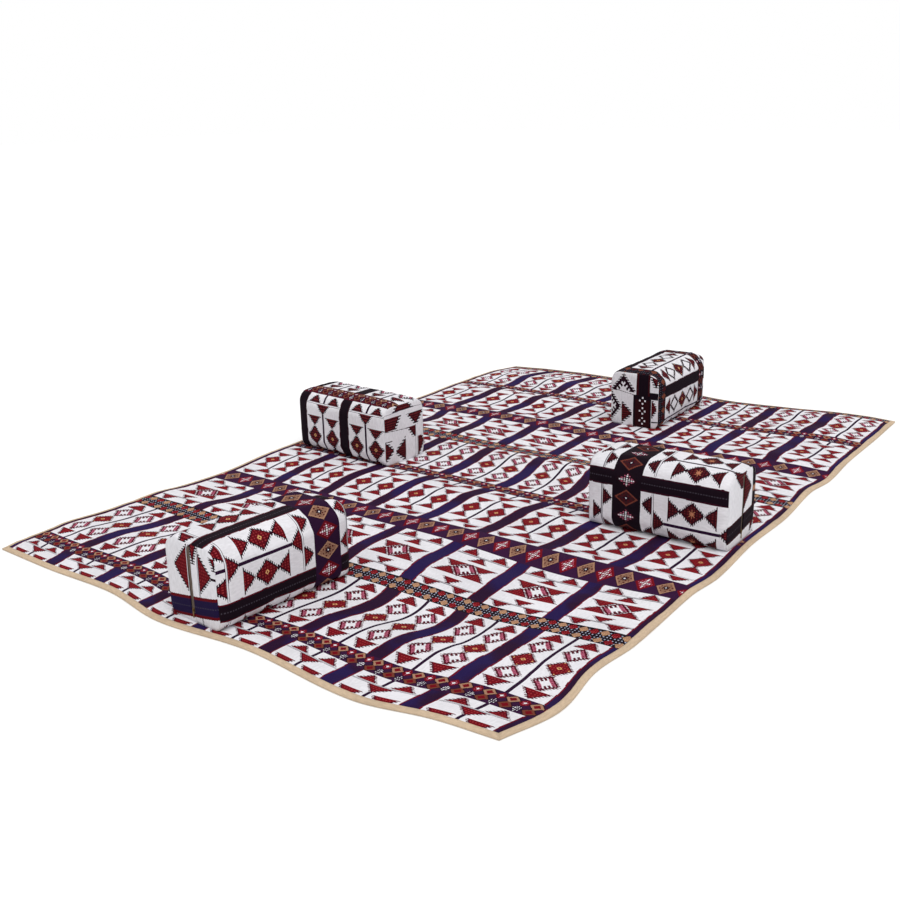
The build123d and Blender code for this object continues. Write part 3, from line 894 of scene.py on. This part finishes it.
def floorPlace(u, v):
    # Where a spot of the flat cloth lies in plan, u across from the left edge, v from the near edge
    across = u / rug["width"]
    along = v / rug["length"]
    x = u - rug["width"] / 2
    y = v - rug["length"] / 2
    toEdge = min(u, rug["width"] - u, v, rug["length"] - v)
    x -= between(rug["left"], along) * rug["sideWander"] * (1 - across) ** 3
    x += between(rug["right"], along) * rug["sideWander"] * across ** 3
    y -= between(rug["near"], across) * rug["endWander"] * max(1 - along, 0) ** 5
    y += between(rug["far"], across) * rug["endWander"] * max(along, 0) ** 5
    for midU, midV, reachU, reachV, shift in rug["slides"]:
        reach = ((u - midU) / reachU) ** 2 + ((v - midV) / reachV) ** 2
        if reach < 6:
            x += shift * math.exp(-reach) * ease(toEdge / rug["edgeHold"])
    for midU, midV, reachU, reachV, shift in rug["creeps"]:
        reach = ((u - midU) / reachU) ** 2 + ((v - midV) / reachV) ** 2
        if reach < 6:
            y += shift * math.exp(-reach) * ease(toEdge / rug["edgeHold"])
    return x, y


def underArmrests(x, y):
    # 0 beside and below an armrest, 1 away from it
    left = 1.0
    for arm in armrests.values():
        middleX, middleY, turn = arm["place"]
        angle = math.radians(turn)
        dx = x - middleX
        dy = y - middleY
        lengthways = abs(dx * math.cos(angle) + dy * math.sin(angle)) - cushion["length"] / 2
        sideways = abs(dy * math.cos(angle) - dx * math.sin(angle)) - cushion["width"] / 2
        left *= ease((max(lengthways, sideways) - 0.012) / rug["ridgeFade"])
    return left


def ridgeLift(x, y):
    lift = 0.0
    for across, along, lengthShare, heightShare, slant in rug["ridges"]:
        dx = x - across * rug["width"]
        dy = y - along * rug["length"] - slant * dx
        reach = (dx / (lengthShare * rug["ridgeHalfLength"])) ** 2 + (dy / rug["ridgeHalfWidth"]) ** 2
        if reach < 8:
            lift += heightShare * rug["ridgeHeight"] * math.exp(-reach)
    creases = noise.noise(Vector((x * 3.0, y * 9.0, 4.7))) + 0.5 * noise.noise(Vector((x * 9.0, y * 22.0, 1.3)))
    lift += 0.0035 * max(creases, 0.0)
    return lift * underArmrests(x, y)


def rugTop(u, v):
    # Top of the face cloth; the binding holds the wadding thin along the edges
    x, y = floorPlace(u, v)
    toEdge = min(u, rug["width"] - u, v, rug["length"] - v)
    thin = rug["edgeThinning"] * (1 - ease(toEdge / rug["thinningReach"]))
    return Vector((x, y, rug["flatHeight"] + ridgeLift(x, y) - thin))


def finishPiece(name, bm, material, body, smooth=True):
    bmesh.ops.recalc_face_normals(bm, faces=bm.faces)
    return asObject(name, bm, material, body, smooth)


def asObject(name, bm, material, body, smooth=True):
    mesh = bpy.data.meshes.new(name)
    for face in bm.faces:
        face.smooth = smooth
    bm.to_mesh(mesh)
    bm.free()
    piece = bpy.data.objects.new(name, mesh)
    bpy.context.collection.objects.link(piece)
    mesh.materials.append(materials[material])
    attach(piece, body)
    return piece


def thicken(piece, thickness, offset=-1.0):
    wall = piece.modifiers.new("wall", "SOLIDIFY")
    wall.thickness = thickness
    wall.offset = offset
    return wall


def clothGrid(countX, countY):
    # A grid whose vertices hold their place as shares from 0 to 1
    bm = bmesh.new()
    uv = bm.loops.layers.uv.new("UVMap")
    bmesh.ops.create_grid(bm, x_segments=countX, y_segments=countY, size=0.5)
    bmesh.ops.translate(bm, verts=bm.verts, vec=(0.5, 0.5, 0))
    return bm, uv


def setUv(bm, uv, place):
    for face in bm.faces:
        for loop in face.loops:
            loop[uv].uv = place(loop.vert.co)


def patternPlace(v):
    # The weave is beaten closer at the near end, so that the first row shows beside the binding
    return v - rug["nearShift"] * (1 - ease(v / rug["nearReach"]))


def layOut(inset, step, top):
    # A layer of the rug as a grid over the whole cloth, drawn in by the inset
    width = rug["width"] - 2 * inset
    length = rug["length"] - 2 * inset
    bm, uv = clothGrid(round(width / step), round(length / step))
    middle = rug["width"] / 2
    setUv(bm, uv, lambda co: (middle + (inset + co.x * width - middle) * rug["patternScale"],
                              patternPlace(inset + co.y * length)))
    for vert in bm.verts:
        vert.co = top(inset + vert.co.x * width, inset + vert.co.y * length)
    return bm


def padTop(u, v):
    return rugTop(u, v) - Vector((0, 0, rug["faceThickness"] + rug["layerGap"]))


def backingTop(u, v):
    x, y = floorPlace(u, v)
    return Vector((x, y, rug["backingThickness"]))


def layRug():
    face = finishPiece("rugFace", layOut(rug["inTape"], rug["gridStep"], rugTop), "rug", "rug")
    thicken(face, rug["faceThickness"])
    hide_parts("rug_face_cloth")
    bm = layOut(rug["inTape"], rug["underStep"], padTop)
    walls = bmesh.ops.extrude_face_region(bm, geom=bm.faces[:])
    for element in walls["geom"]:
        if isinstance(element, bmesh.types.BMVert):
            element.co.z = rug["padLow"]
    pad = finishPiece("rugPad", bm, "wadding", "rug")
    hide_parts("rug_pad")
    inset = binding["width"] + rug["layerGap"]
    bm = layOut(inset, rug["underStep"], backingTop)
    backing = finishPiece("rugBacking", bm, "backing", "rug")
    thicken(backing, rug["backingThickness"])
    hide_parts("rug_backing_cloth")
    print("rug laid:", len(face.data.polygons), "quads of face cloth")


binding = {
    "thickness": 0.001,
    "layRoom": 0.0003,
    "width": 0.016,        # of its part on top and of its part below
    "stationStep": 0.012,
    "stitchInset": 0.0035,   # of the seam from the tape's inner edge
    "stitchLength": 0.0042,
    "stitchGap": 0.003,
    "stitchRadius": 0.0006,
    "pucker": 0.0006,
}


def tapeProfile():
    # Insets from the rug's edge with height shares, from the inner edge on top round to the one below
    inner = binding["width"]
    return [(inner, 1.0), (inner * 0.8, 1.03), (inner * 0.55, 1.05), (inner * 0.3, 1.04), (inner * 0.12, 1.0),
            (0.0, 0.88), (-0.0012, 0.7), (-0.0014, 0.45), (-0.0008, 0.2), (0.001, 0.05), (inner * 0.3, 0.0),
            (inner * 0.7, 0.0), (inner, 0.0)]


def edgeSpot(side, inset, share):
    # A place of the flat cloth, a share along one edge, with mitred ends
    width = rug["width"]
    length = rug["length"]
    if side == "near":
        return inset + share * (width - 2 * inset), inset
    if side == "right":
        return width - inset, inset + share * (length - 2 * inset)
    if side == "far":
        return width - inset - share * (width - 2 * inset), length - inset
    return inset, length - inset - share * (length - 2 * inset)


def tapePoint(side, inset, share, height):
    u, v = edgeSpot(side, inset, share)
    spot = rugTop(u, v)
    thick = spot.z + binding["layRoom"] + binding["thickness"]
    ripple = binding["pucker"] * noise.noise(Vector((u * 60, v * 60, 2.0)))
    return Vector((spot.x, spot.y, max(thick * height + (ripple if height > 0.5 else 0), 0.0)))


def sewBinding(side, long):
    profile = tapeProfile()
    stations = round(long / binding["stationStep"])
    bm, uv = clothGrid(len(profile) - 1, stations)
    girth = 2 * binding["width"] + rug["flatHeight"]
    setUv(bm, uv, lambda co: (co.x * girth, co.y * long))
    for vert in bm.verts:
        inset, height = profile[round(vert.co.x * (len(profile) - 1))]
        vert.co = tapePoint(side, inset, vert.co.y, height)
    piece = finishPiece("binding" + side.capitalize(), bm, "binding", "rug")
    bm = bmesh.new()
    bm.from_mesh(piece.data)
    outer = tapePoint(side, -0.0012, 0.5, 0.6)
    middle = min(bm.faces, key=lambda f: (f.calc_center_median() - outer).length)
    if middle.normal.dot(outer - tapePoint(side, binding["width"], 0.5, 0.6)) < 0:
        bmesh.ops.reverse_faces(bm, faces=bm.faces)
    bm.to_mesh(piece.data)
    bm.free()
    thicken(piece, binding["thickness"])
    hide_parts("rug_binding_" + side)
    return piece


def stitchMesh(length, radius):
    # One stitch of thread, lying along X, with rounded ends
    bm = bmesh.new()
    bmesh.ops.create_cone(bm, cap_ends=True, segments=6, radius1=radius, radius2=radius, depth=length * 0.6,
                          matrix=Matrix.Rotation(math.pi / 2, 4, "Y"))
    caps = [face for face in bm.faces if abs(face.normal.x) > 0.9]
    for face in caps:
        made = bmesh.ops.extrude_discrete_faces(bm, faces=[face])["faces"][0]
        outward = made.normal * length * 0.2
        middle = made.calc_center_median()
        for vert in made.verts:
            vert.co = middle + (vert.co - middle) * 0.45 + outward
    mesh = bpy.data.meshes.new("oneStitch")
    bm.to_mesh(mesh)
    bm.free()
    return mesh


def sewStitches(name, places, length, radius, material, body):
    # Stitches at places given as (middle, direction, up)
    one = stitchMesh(length, radius)
    bm = bmesh.new()
    for middle, direction, up in places:
        along = direction.normalized()
        aside = up.cross(along).normalized()
        above = along.cross(aside)
        turn = Matrix((along, aside, above)).transposed().to_4x4()
        first = len(bm.verts)
        bm.from_mesh(one)
        bm.verts.ensure_lookup_table()
        bmesh.ops.transform(bm, matrix=Matrix.Translation(middle) @ turn, verts=bm.verts[first:])
    return asObject(name, bm, material, body)


layRug()
edgeLengths = {"near": rug["width"], "right": rug["length"], "far": rug["width"], "left": rug["length"]}
for side, long in edgeLengths.items():
    tape = sewBinding(side, long)
    inset = binding["width"] - binding["stitchInset"]
    count = int(long / (binding["stitchLength"] + binding["stitchGap"]))
    places = []
    for index in range(count):
        spot = tapePoint(side, inset, (index + 0.5) / count, 1.0)
        ahead = tapePoint(side, inset, (index + 0.9) / count, 1.0)
        places.append((spot + Vector((0, 0, 0.0002)), ahead - spot, Vector((0, 0, 1))))
    seam = sewStitches("bindingStitches" + side.capitalize(), places, binding["stitchLength"],
                       binding["stitchRadius"], "thread", "rug")
    print("binding sewn:", side, count, "stitches")


# The armrests

def cutPlanes(length, marks, step):
    # Places of the cuts along one axis: the marks and even steps between them
    stops = sorted(marks)
    places = []
    for low, high in zip(stops, stops[1:]):
        count = max(round((high - low) / step), 1)
        places += [low + (high - low) * index / count for index in range(1, count + 1)]
    return places[:-1]


def panelledBox():
    # A box of quads whose faces know their panel and whose vertices know their flat place
    bm = bmesh.new()
    bmesh.ops.create_cube(bm, size=1.0)
    bmesh.ops.scale(bm, verts=bm.verts, vec=(cushion["length"], cushion["width"], cushion["height"]))
    bmesh.ops.translate(bm, verts=bm.verts, vec=(0, 0, cushion["height"] / 2))
    panel = bm.faces.layers.int.new("panel")
    for face in bm.faces:
        normal = face.normal
        if normal.y > 0.5:
            face[panel] = 0
        elif normal.z > 0.5:
            face[panel] = 1
        elif normal.y < -0.5:
            face[panel] = 2
        elif normal.z < -0.5:
            face[panel] = 3
        else:
            face[panel] = 4 if normal.x > 0 else 5
    halfL, halfW = cushion["length"] / 2, cushion["width"] / 2
    cuts = {
        (1, 0, 0): cutPlanes(cushion["length"], [-halfL, halfL], cushion["quad"]),
        (0, 1, 0): cutPlanes(cushion["width"], [-halfW, -cushion["zipHalf"], cushion["zipHalf"], halfW],
                             cushion["quad"]),
        (0, 0, 1): cutPlanes(cushion["height"], [0, cushion["zipLow"], cushion["openingTop"], cushion["height"]],
                             cushion["quad"]),
    }
    for direction, places in cuts.items():
        for place in places:
            bmesh.ops.bisect_plane(bm, geom=bm.verts[:] + bm.edges[:] + bm.faces[:],
                                   plane_co=Vector(direction) * place, plane_no=direction)
    for face in bm.faces:
        middle = face.calc_center_median()
        inGap = abs(middle.y) < cushion["zipHalf"] and cushion["zipLow"] < middle.z < cushion["openingTop"]
        if face[panel] == 4 and inGap:
            face[panel] = 6
    flat = bm.verts.layers.float_vector.new("flatPlace")
    for vert in bm.verts:
        vert[flat] = vert.co
    return bm, panel, flat


def roundedPlace(co):
    # A flat box place moved onto the crowned box with rounded long edges
    halfW = cushion["width"] / 2
    wall = halfW - cushion["crown"]
    draw = cushion["drawIn"] * abs(co.x / (cushion["length"] / 2)) ** 4
    y = co.y / halfW * (wall - draw)
    high = cushion["height"] - cushion["crown"] - draw
    z = co.z / cushion["height"] * high
    radius = cushion["topRadius"] if co.z > cushion["height"] / 2 else cushion["footRadius"]
    middleZ = high - radius if co.z > cushion["height"] / 2 else radius
    overY = abs(y) - (wall - draw - radius)
    overZ = z - middleZ if co.z > cushion["height"] / 2 else middleZ - z
    if overY > 0 and overZ > 0:
        reach = max(overY, overZ)
        away = math.hypot(overY, overZ)
        y = math.copysign(wall - draw - radius + overY / away * reach, y)
        z = middleZ + math.copysign(overZ / away * reach, co.z - cushion["height"] / 2)
    return Vector((co.x / (cushion["length"] / 2) * (cushion["length"] / 2 - cushion["endCrown"]), y, z))


def endDome(y, z):
    # How far out the domed end reaches at a place
    reach = math.hypot(cushion["width"] / 2, cushion["height"] / 2)
    away = math.hypot(y, z - cushion["height"] / 2)
    return cushion["length"] / 2 - cushion["endCrown"] * (away / reach) ** 2


def swell(bm, name):
    # Blows the sewn cover up with cloth simulation and keeps each spot's move within the cap
    mesh = bpy.data.meshes.new(name + "Swelling")
    bm.to_mesh(mesh)
    body = bpy.data.objects.new(name + "Swelling", mesh)
    bpy.context.collection.objects.link(body)
    seams = body.vertex_groups.new(name="seams")
    halfL = cushion["length"] / 2
    flat = bm.verts.layers.float_vector["flatPlace"]
    bm.verts.ensure_lookup_table()
    for vert in bm.verts:
        place = vert[flat]
        onRing = abs(abs(place.x) - halfL) < 1e-5 and (
            abs(abs(place.y) - cushion["width"] / 2) < 1e-5 or place.z < 1e-5
            or place.z > cushion["height"] - 1e-5)
        if onRing:
            seams.add([vert.index], 1.0, "REPLACE")
    cloth = body.modifiers.new("cloth", "CLOTH")
    cloth.settings.quality = 6
    cloth.settings.mass = 0.25
    cloth.settings.tension_stiffness = 12
    cloth.settings.compression_stiffness = 12
    cloth.settings.shear_stiffness = 6
    cloth.settings.bending_stiffness = 0.6
    cloth.settings.use_pressure = True
    cloth.settings.uniform_pressure_force = cushion["pressure"]
    cloth.settings.shrink_min = -0.008
    cloth.settings.vertex_group_mass = "seams"
    cloth.settings.effector_weights.gravity = 0
    cloth.collision_settings.use_collision = False
    for number in range(1, cushion["frames"] + 1):
        bpy.context.scene.frame_set(number)
    swollen = body.evaluated_get(bpy.context.evaluated_depsgraph_get()).to_mesh()
    moves = []
    for vert in bm.verts:
        move = swollen.vertices[vert.index].co - vert.co
        if move.length > cushion["mostSwell"]:
            move = move.normalized() * cushion["mostSwell"]
        moves.append(move.length)
        vert.co += move
    bpy.context.scene.frame_set(1)
    bpy.data.objects.remove(body)
    bpy.data.meshes.remove(mesh)
    print("swollen:", name, "most", round(max(moves) * 1000, 1), "mm")


def stuffedBody(name, seed):
    bm, panel, flat = panelledBox()
    for vert in bm.verts:
        vert.co = roundedPlace(vert[flat])
        vert.co += 0.0006 * noise.noise_vector(vert.co * 30 + Vector((seed, 0, 0)))
    swell(bm, name)
    halfL = cushion["length"] / 2
    for vert in bm.verts:
        place = vert[flat]
        onEnd = abs(abs(place.x) - halfL) < 1e-5
        if onEnd:
            dome = endDome(vert.co.y, vert.co.z)
            out = min(max(abs(vert.co.x), dome), dome + 0.0015)
            vert.co.x = math.copysign(out, place.x)
        vert.co.z = min(max(vert.co.z, 0.0), cushion["height"] + 0.001)
    tuckSeams(bm, flat, seed)
    return bm, panel, flat


def tuckSeams(bm, flat, seed):
    # Sinks the two end seams and gathers the cloth a little beside them
    halfL = cushion["length"] / 2
    for vert in bm.verts:
        place = vert[flat]
        ring = abs(abs(place.x) - halfL) < 1e-5 and (
            abs(abs(place.y) - cushion["width"] / 2) < 1e-5 or place.z > cushion["height"] - 1e-5)
        toSeam = halfL - abs(place.x)
        if ring:
            inward = Vector((-math.copysign(0.6, place.x), 0, 0))
            inward += (Vector((0, 0, cushion["height"] / 2)) - Vector((0, place.y, place.z))).normalized()
            vert.co += inward * cushion["seamDip"]
        elif toSeam < 0.045 and place.z > 0.004:
            around = math.atan2(place.z - cushion["height"] / 2, place.y)
            gather = noise.noise(Vector((around * 9, seed, math.copysign(2.0, place.x))))
            outward = Vector((0, vert.co.y, vert.co.z - cushion["height"] / 2)).normalized()
            vert.co += outward * gather * 0.0022 * (1 - toSeam / 0.045)


def girthTable(bm, flat):
    # Real distance round the middle of the armrest for each flat distance round the box
    ring = {}
    for vert in bm.verts:
        place = vert[flat]
        if abs(place.x) < 1e-5:
            ring[round(flatGirth(place), 5)] = vert.co.copy()
    table = [(0.0, 0.0)]
    total = 0.0
    stops = sorted(ring)
    for low, high in zip(stops, stops[1:]):
        total += (ring[high] - ring[low]).length
        table.append((high, total))
    return table


def flatGirth(place, side=None):
    # Distance round the box from the foot of its +Y side, up, over the top and down the other side
    halfW = cushion["width"] / 2
    height = cushion["height"]
    if side is None:
        if abs(place.y - halfW) < 1e-5:
            side = 0
        elif abs(place.z - height) < 1e-5:
            side = 1
        elif abs(place.y + halfW) < 1e-5:
            side = 2
        else:
            side = 3
    if side == 0:
        return place.z
    if side == 1:
        return height + halfW - place.y
    if side == 2:
        return height + 2 * halfW + height - place.z
    return 2 * height + 2 * halfW + halfW + place.y


def lookUp(table, value):
    for (low, start), (high, end) in zip(table, table[1:]):
        if value <= high:
            return start + (end - start) * (value - low) / (high - low)
    return table[-1][1] + value - table[-1][0]


def printCloth(bm, panel, flat, arm):
    # Lays the woven pattern over the cover: each corner of each face gets its place on the cloth
    uv = bm.loops.layers.uv.new("UVMap")
    table = girthTable(bm, flat)
    sideTop = lookUp(table, 2 * cushion["height"] + cushion["width"])
    halfL = cushion["length"] / 2
    for face in bm.faces:
        kind = face[panel]
        for loop in face.loops:
            place = loop.vert[flat]
            if kind < 4:
                girth = lookUp(table, flatGirth(place, kind))
                if arm["side"] < 0:
                    girth = sideTop - girth
                run = halfL - arm["from"] * place.x
                if arm["warp"] == "along":
                    loop[uv].uv = (girth + arm["u"], arm["v"] + arm["step"] * run)
                else:
                    loop[uv].uv = (run + arm["u"], arm["v"] + girth)
            else:
                across = place.y * (1 if kind != 5 else -1)
                loop[uv].uv = (across, place.z)


def cutOut(bm, panel, keep, sideOfZip=0):
    # A copy of the cover with only some of its panels
    made = bm.copy()
    layer = made.faces.layers.int["panel"]
    drop = []
    for face in made.faces:
        wrongHalf = sideOfZip and face.calc_center_median().y * sideOfZip < 0
        if face[layer] not in keep or wrongHalf:
            drop.append(face)
    bmesh.ops.delete(made, geom=drop, context="FACES")
    return made


def softEdges(piece, levels=1):
    smooth = piece.modifiers.new("smooth", "SUBSURF")
    smooth.levels = levels
    smooth.render_levels = levels
    smooth.boundary_smooth = "PRESERVE_CORNERS"


def coverPiece(name, bm, place, body, node, material):
    bm.transform(place)
    piece = asObject(name, bm, material, body)
    softEdges(piece)
    thicken(piece, cushion["clothThickness"])
    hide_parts(node)
    return piece


def zipStitches(name, place, body):
    # Two rows of thread that hold the zip under the edges of its opening
    step = 0.0055
    count = int((cushion["zipHigh"] - cushion["zipLow"]) / step)
    spots = []
    for side in (-1, 1):
        for index in range(count):
            y = side * (cushion["zipHalf"] + 0.0032)
            z = cushion["zipLow"] + (index + 0.5) * step
            spot = Vector((endDome(y, z) + 0.0002, y, z))
            spots.append((place @ spot, place.to_3x3() @ Vector((0, 0, 1)), place.to_3x3() @ Vector((1, 0, 0))))
    seam = sewStitches(name + "ZipStitches", spots, 0.0038, 0.0005, "thread", body)
    return seam


def buildArmrest(side, arm):
    middleX, middleY, turn = arm["place"]
    body = side + "_armrest"
    place = Matrix.Translation((middleX, middleY, cushion["lift"]))
    place = place @ Matrix.Rotation(math.radians(turn), 4, "Z")
    bm, panel, flat = stuffedBody(side, arm["seed"])
    printCloth(bm, panel, flat, arm)
    foam = bm.copy()
    bmesh.ops.recalc_face_normals(foam, faces=foam.faces)
    foam.normal_update()
    shrink = cushion["clothThickness"] + 0.0015
    for vert in foam.verts:
        vert.co -= vert.normal * shrink
        vert.co.x = min(vert.co.x, cushion["length"] / 2 - 0.0075)
    foam.transform(place)
    core = asObject(side + "ArmrestFoam", foam, "foam", body)
    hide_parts(body + "_core")
    coverPiece(side + "ArmrestSleeve", cutOut(bm, panel, (0, 1, 2, 3)), place, body, body + "_sleeve",
               arm["cloth"])
    coverPiece(side + "ArmrestPlainEnd", cutOut(bm, panel, (5,)), place, body, body + "_plain_end",
               side + "End")
    for half, sign in (("left", -1), ("right", 1)):
        coverPiece(side + "ArmrestZipEnd" + half.capitalize(), cutOut(bm, panel, (4,), sign), place, body,
                   body + "_zip_end_" + half, side + "End")
    bm.free()
    zipStitches(side + "Armrest", place, body)
    for node, material in (("zip_tape_left", "zipTape"), ("zip_tape_right", "zipTape"),
                           ("zip_teeth", "zipTeeth"), ("zip_slider", "brass"), ("zip_pull", "brass")):
        cadPiece = frame["nodes"][body + "_" + node]
        if not cadPiece.material_slots:
            cadPiece.data.materials.append(materials[material])
        for slot in cadPiece.material_slots:
            slot.material = materials[material]
    print("armrest made:", side)


for side, arm in armrests.items():
    buildArmrest(side, arm)


# Floor, light and camera

def makeFloor():
    bm = bmesh.new()
    bmesh.ops.create_grid(bm, x_segments=1, y_segments=1, size=40.0)
    mesh = bpy.data.meshes.new("floor")
    bm.to_mesh(mesh)
    bm.free()
    floor = bpy.data.objects.new("floor", mesh)
    bpy.context.collection.objects.link(floor)
    floor.location.z = -0.0002
    material, tree, shader, places = newMaterial("paleFloor", 1.0)
    shader.inputs["Base Color"].default_value = (0.8, 0.8, 0.8, 1.0)
    shader.inputs["Specular IOR Level"].default_value = 0.0
    seen = tree.nodes.new("ShaderNodeLightPath")
    glow = tree.nodes.new("ShaderNodeEmission")
    glow.inputs["Color"].default_value = (0.3, 0.3, 0.3, 1.0)
    both = tree.nodes.new("ShaderNodeAddShader")
    pick = tree.nodes.new("ShaderNodeMixShader")
    tree.links.new(shader.outputs[0], both.inputs[0])
    tree.links.new(glow.outputs[0], both.inputs[1])
    tree.links.new(seen.outputs["Is Camera Ray"], pick.inputs[0])
    tree.links.new(shader.outputs[0], pick.inputs[1])
    tree.links.new(both.outputs[0], pick.inputs[2])
    tree.links.new(pick.outputs[0], tree.nodes["Material Output"].inputs["Surface"])
    mesh.materials.append(material)


lights = {
    "world": 0.62,
    "keySpread": 50.0,               # degrees, wide as a studio ceiling panel
    "keyFrom": (0.37, -0.27, 1.0),
    "keyStrength": 1.38,
}


def makeLight():
    world = bpy.data.worlds.new("studio")
    bpy.context.scene.world = world
    world.use_nodes = True
    tree = world.node_tree
    background = tree.nodes["Background"]
    background.inputs["Color"].default_value = (1.0, 1.0, 1.0, 1.0)
    seen = tree.nodes.new("ShaderNodeLightPath")
    clear = knit(tree, "MAXIMUM", Yarn(tree, seen.outputs["Is Camera Ray"]), lights["world"])
    clear = clear | Yarn(tree, seen.outputs["Is Glossy Ray"]) | Yarn(tree, seen.outputs["Is Transmission Ray"])
    tree.links.new(clear.socket, background.inputs["Strength"])
    data = bpy.data.lights.new("key", "SUN")
    data.angle = math.radians(lights["keySpread"])
    data.energy = lights["keyStrength"]
    lamp = bpy.data.objects.new("key", data)
    lamp.rotation_mode = "QUATERNION"
    lamp.rotation_quaternion = (-Vector(lights["keyFrom"])).to_track_quat("-Z", "Y")
    bpy.context.collection.objects.link(lamp)


camera = {
    "place": (2.249, -3.345, 1.395),
    "turn": (72.38, 1.21, 36.84),   # degrees about X, Y and Z
    "lens": 44.056,
}


def makeCamera():
    data = bpy.data.cameras.new("camera")
    data.lens = camera["lens"]
    data.sensor_width = 36.0
    eye = bpy.data.objects.new("camera", data)
    eye.location = camera["place"]
    eye.rotation_euler = [math.radians(angle) for angle in camera["turn"]]
    bpy.context.collection.objects.link(eye)
    bpy.context.scene.camera = eye


makeFloor()
makeLight()
makeCamera()
bpy.context.scene.view_settings.view_transform = "Standard"
print("floor, light and camera set")
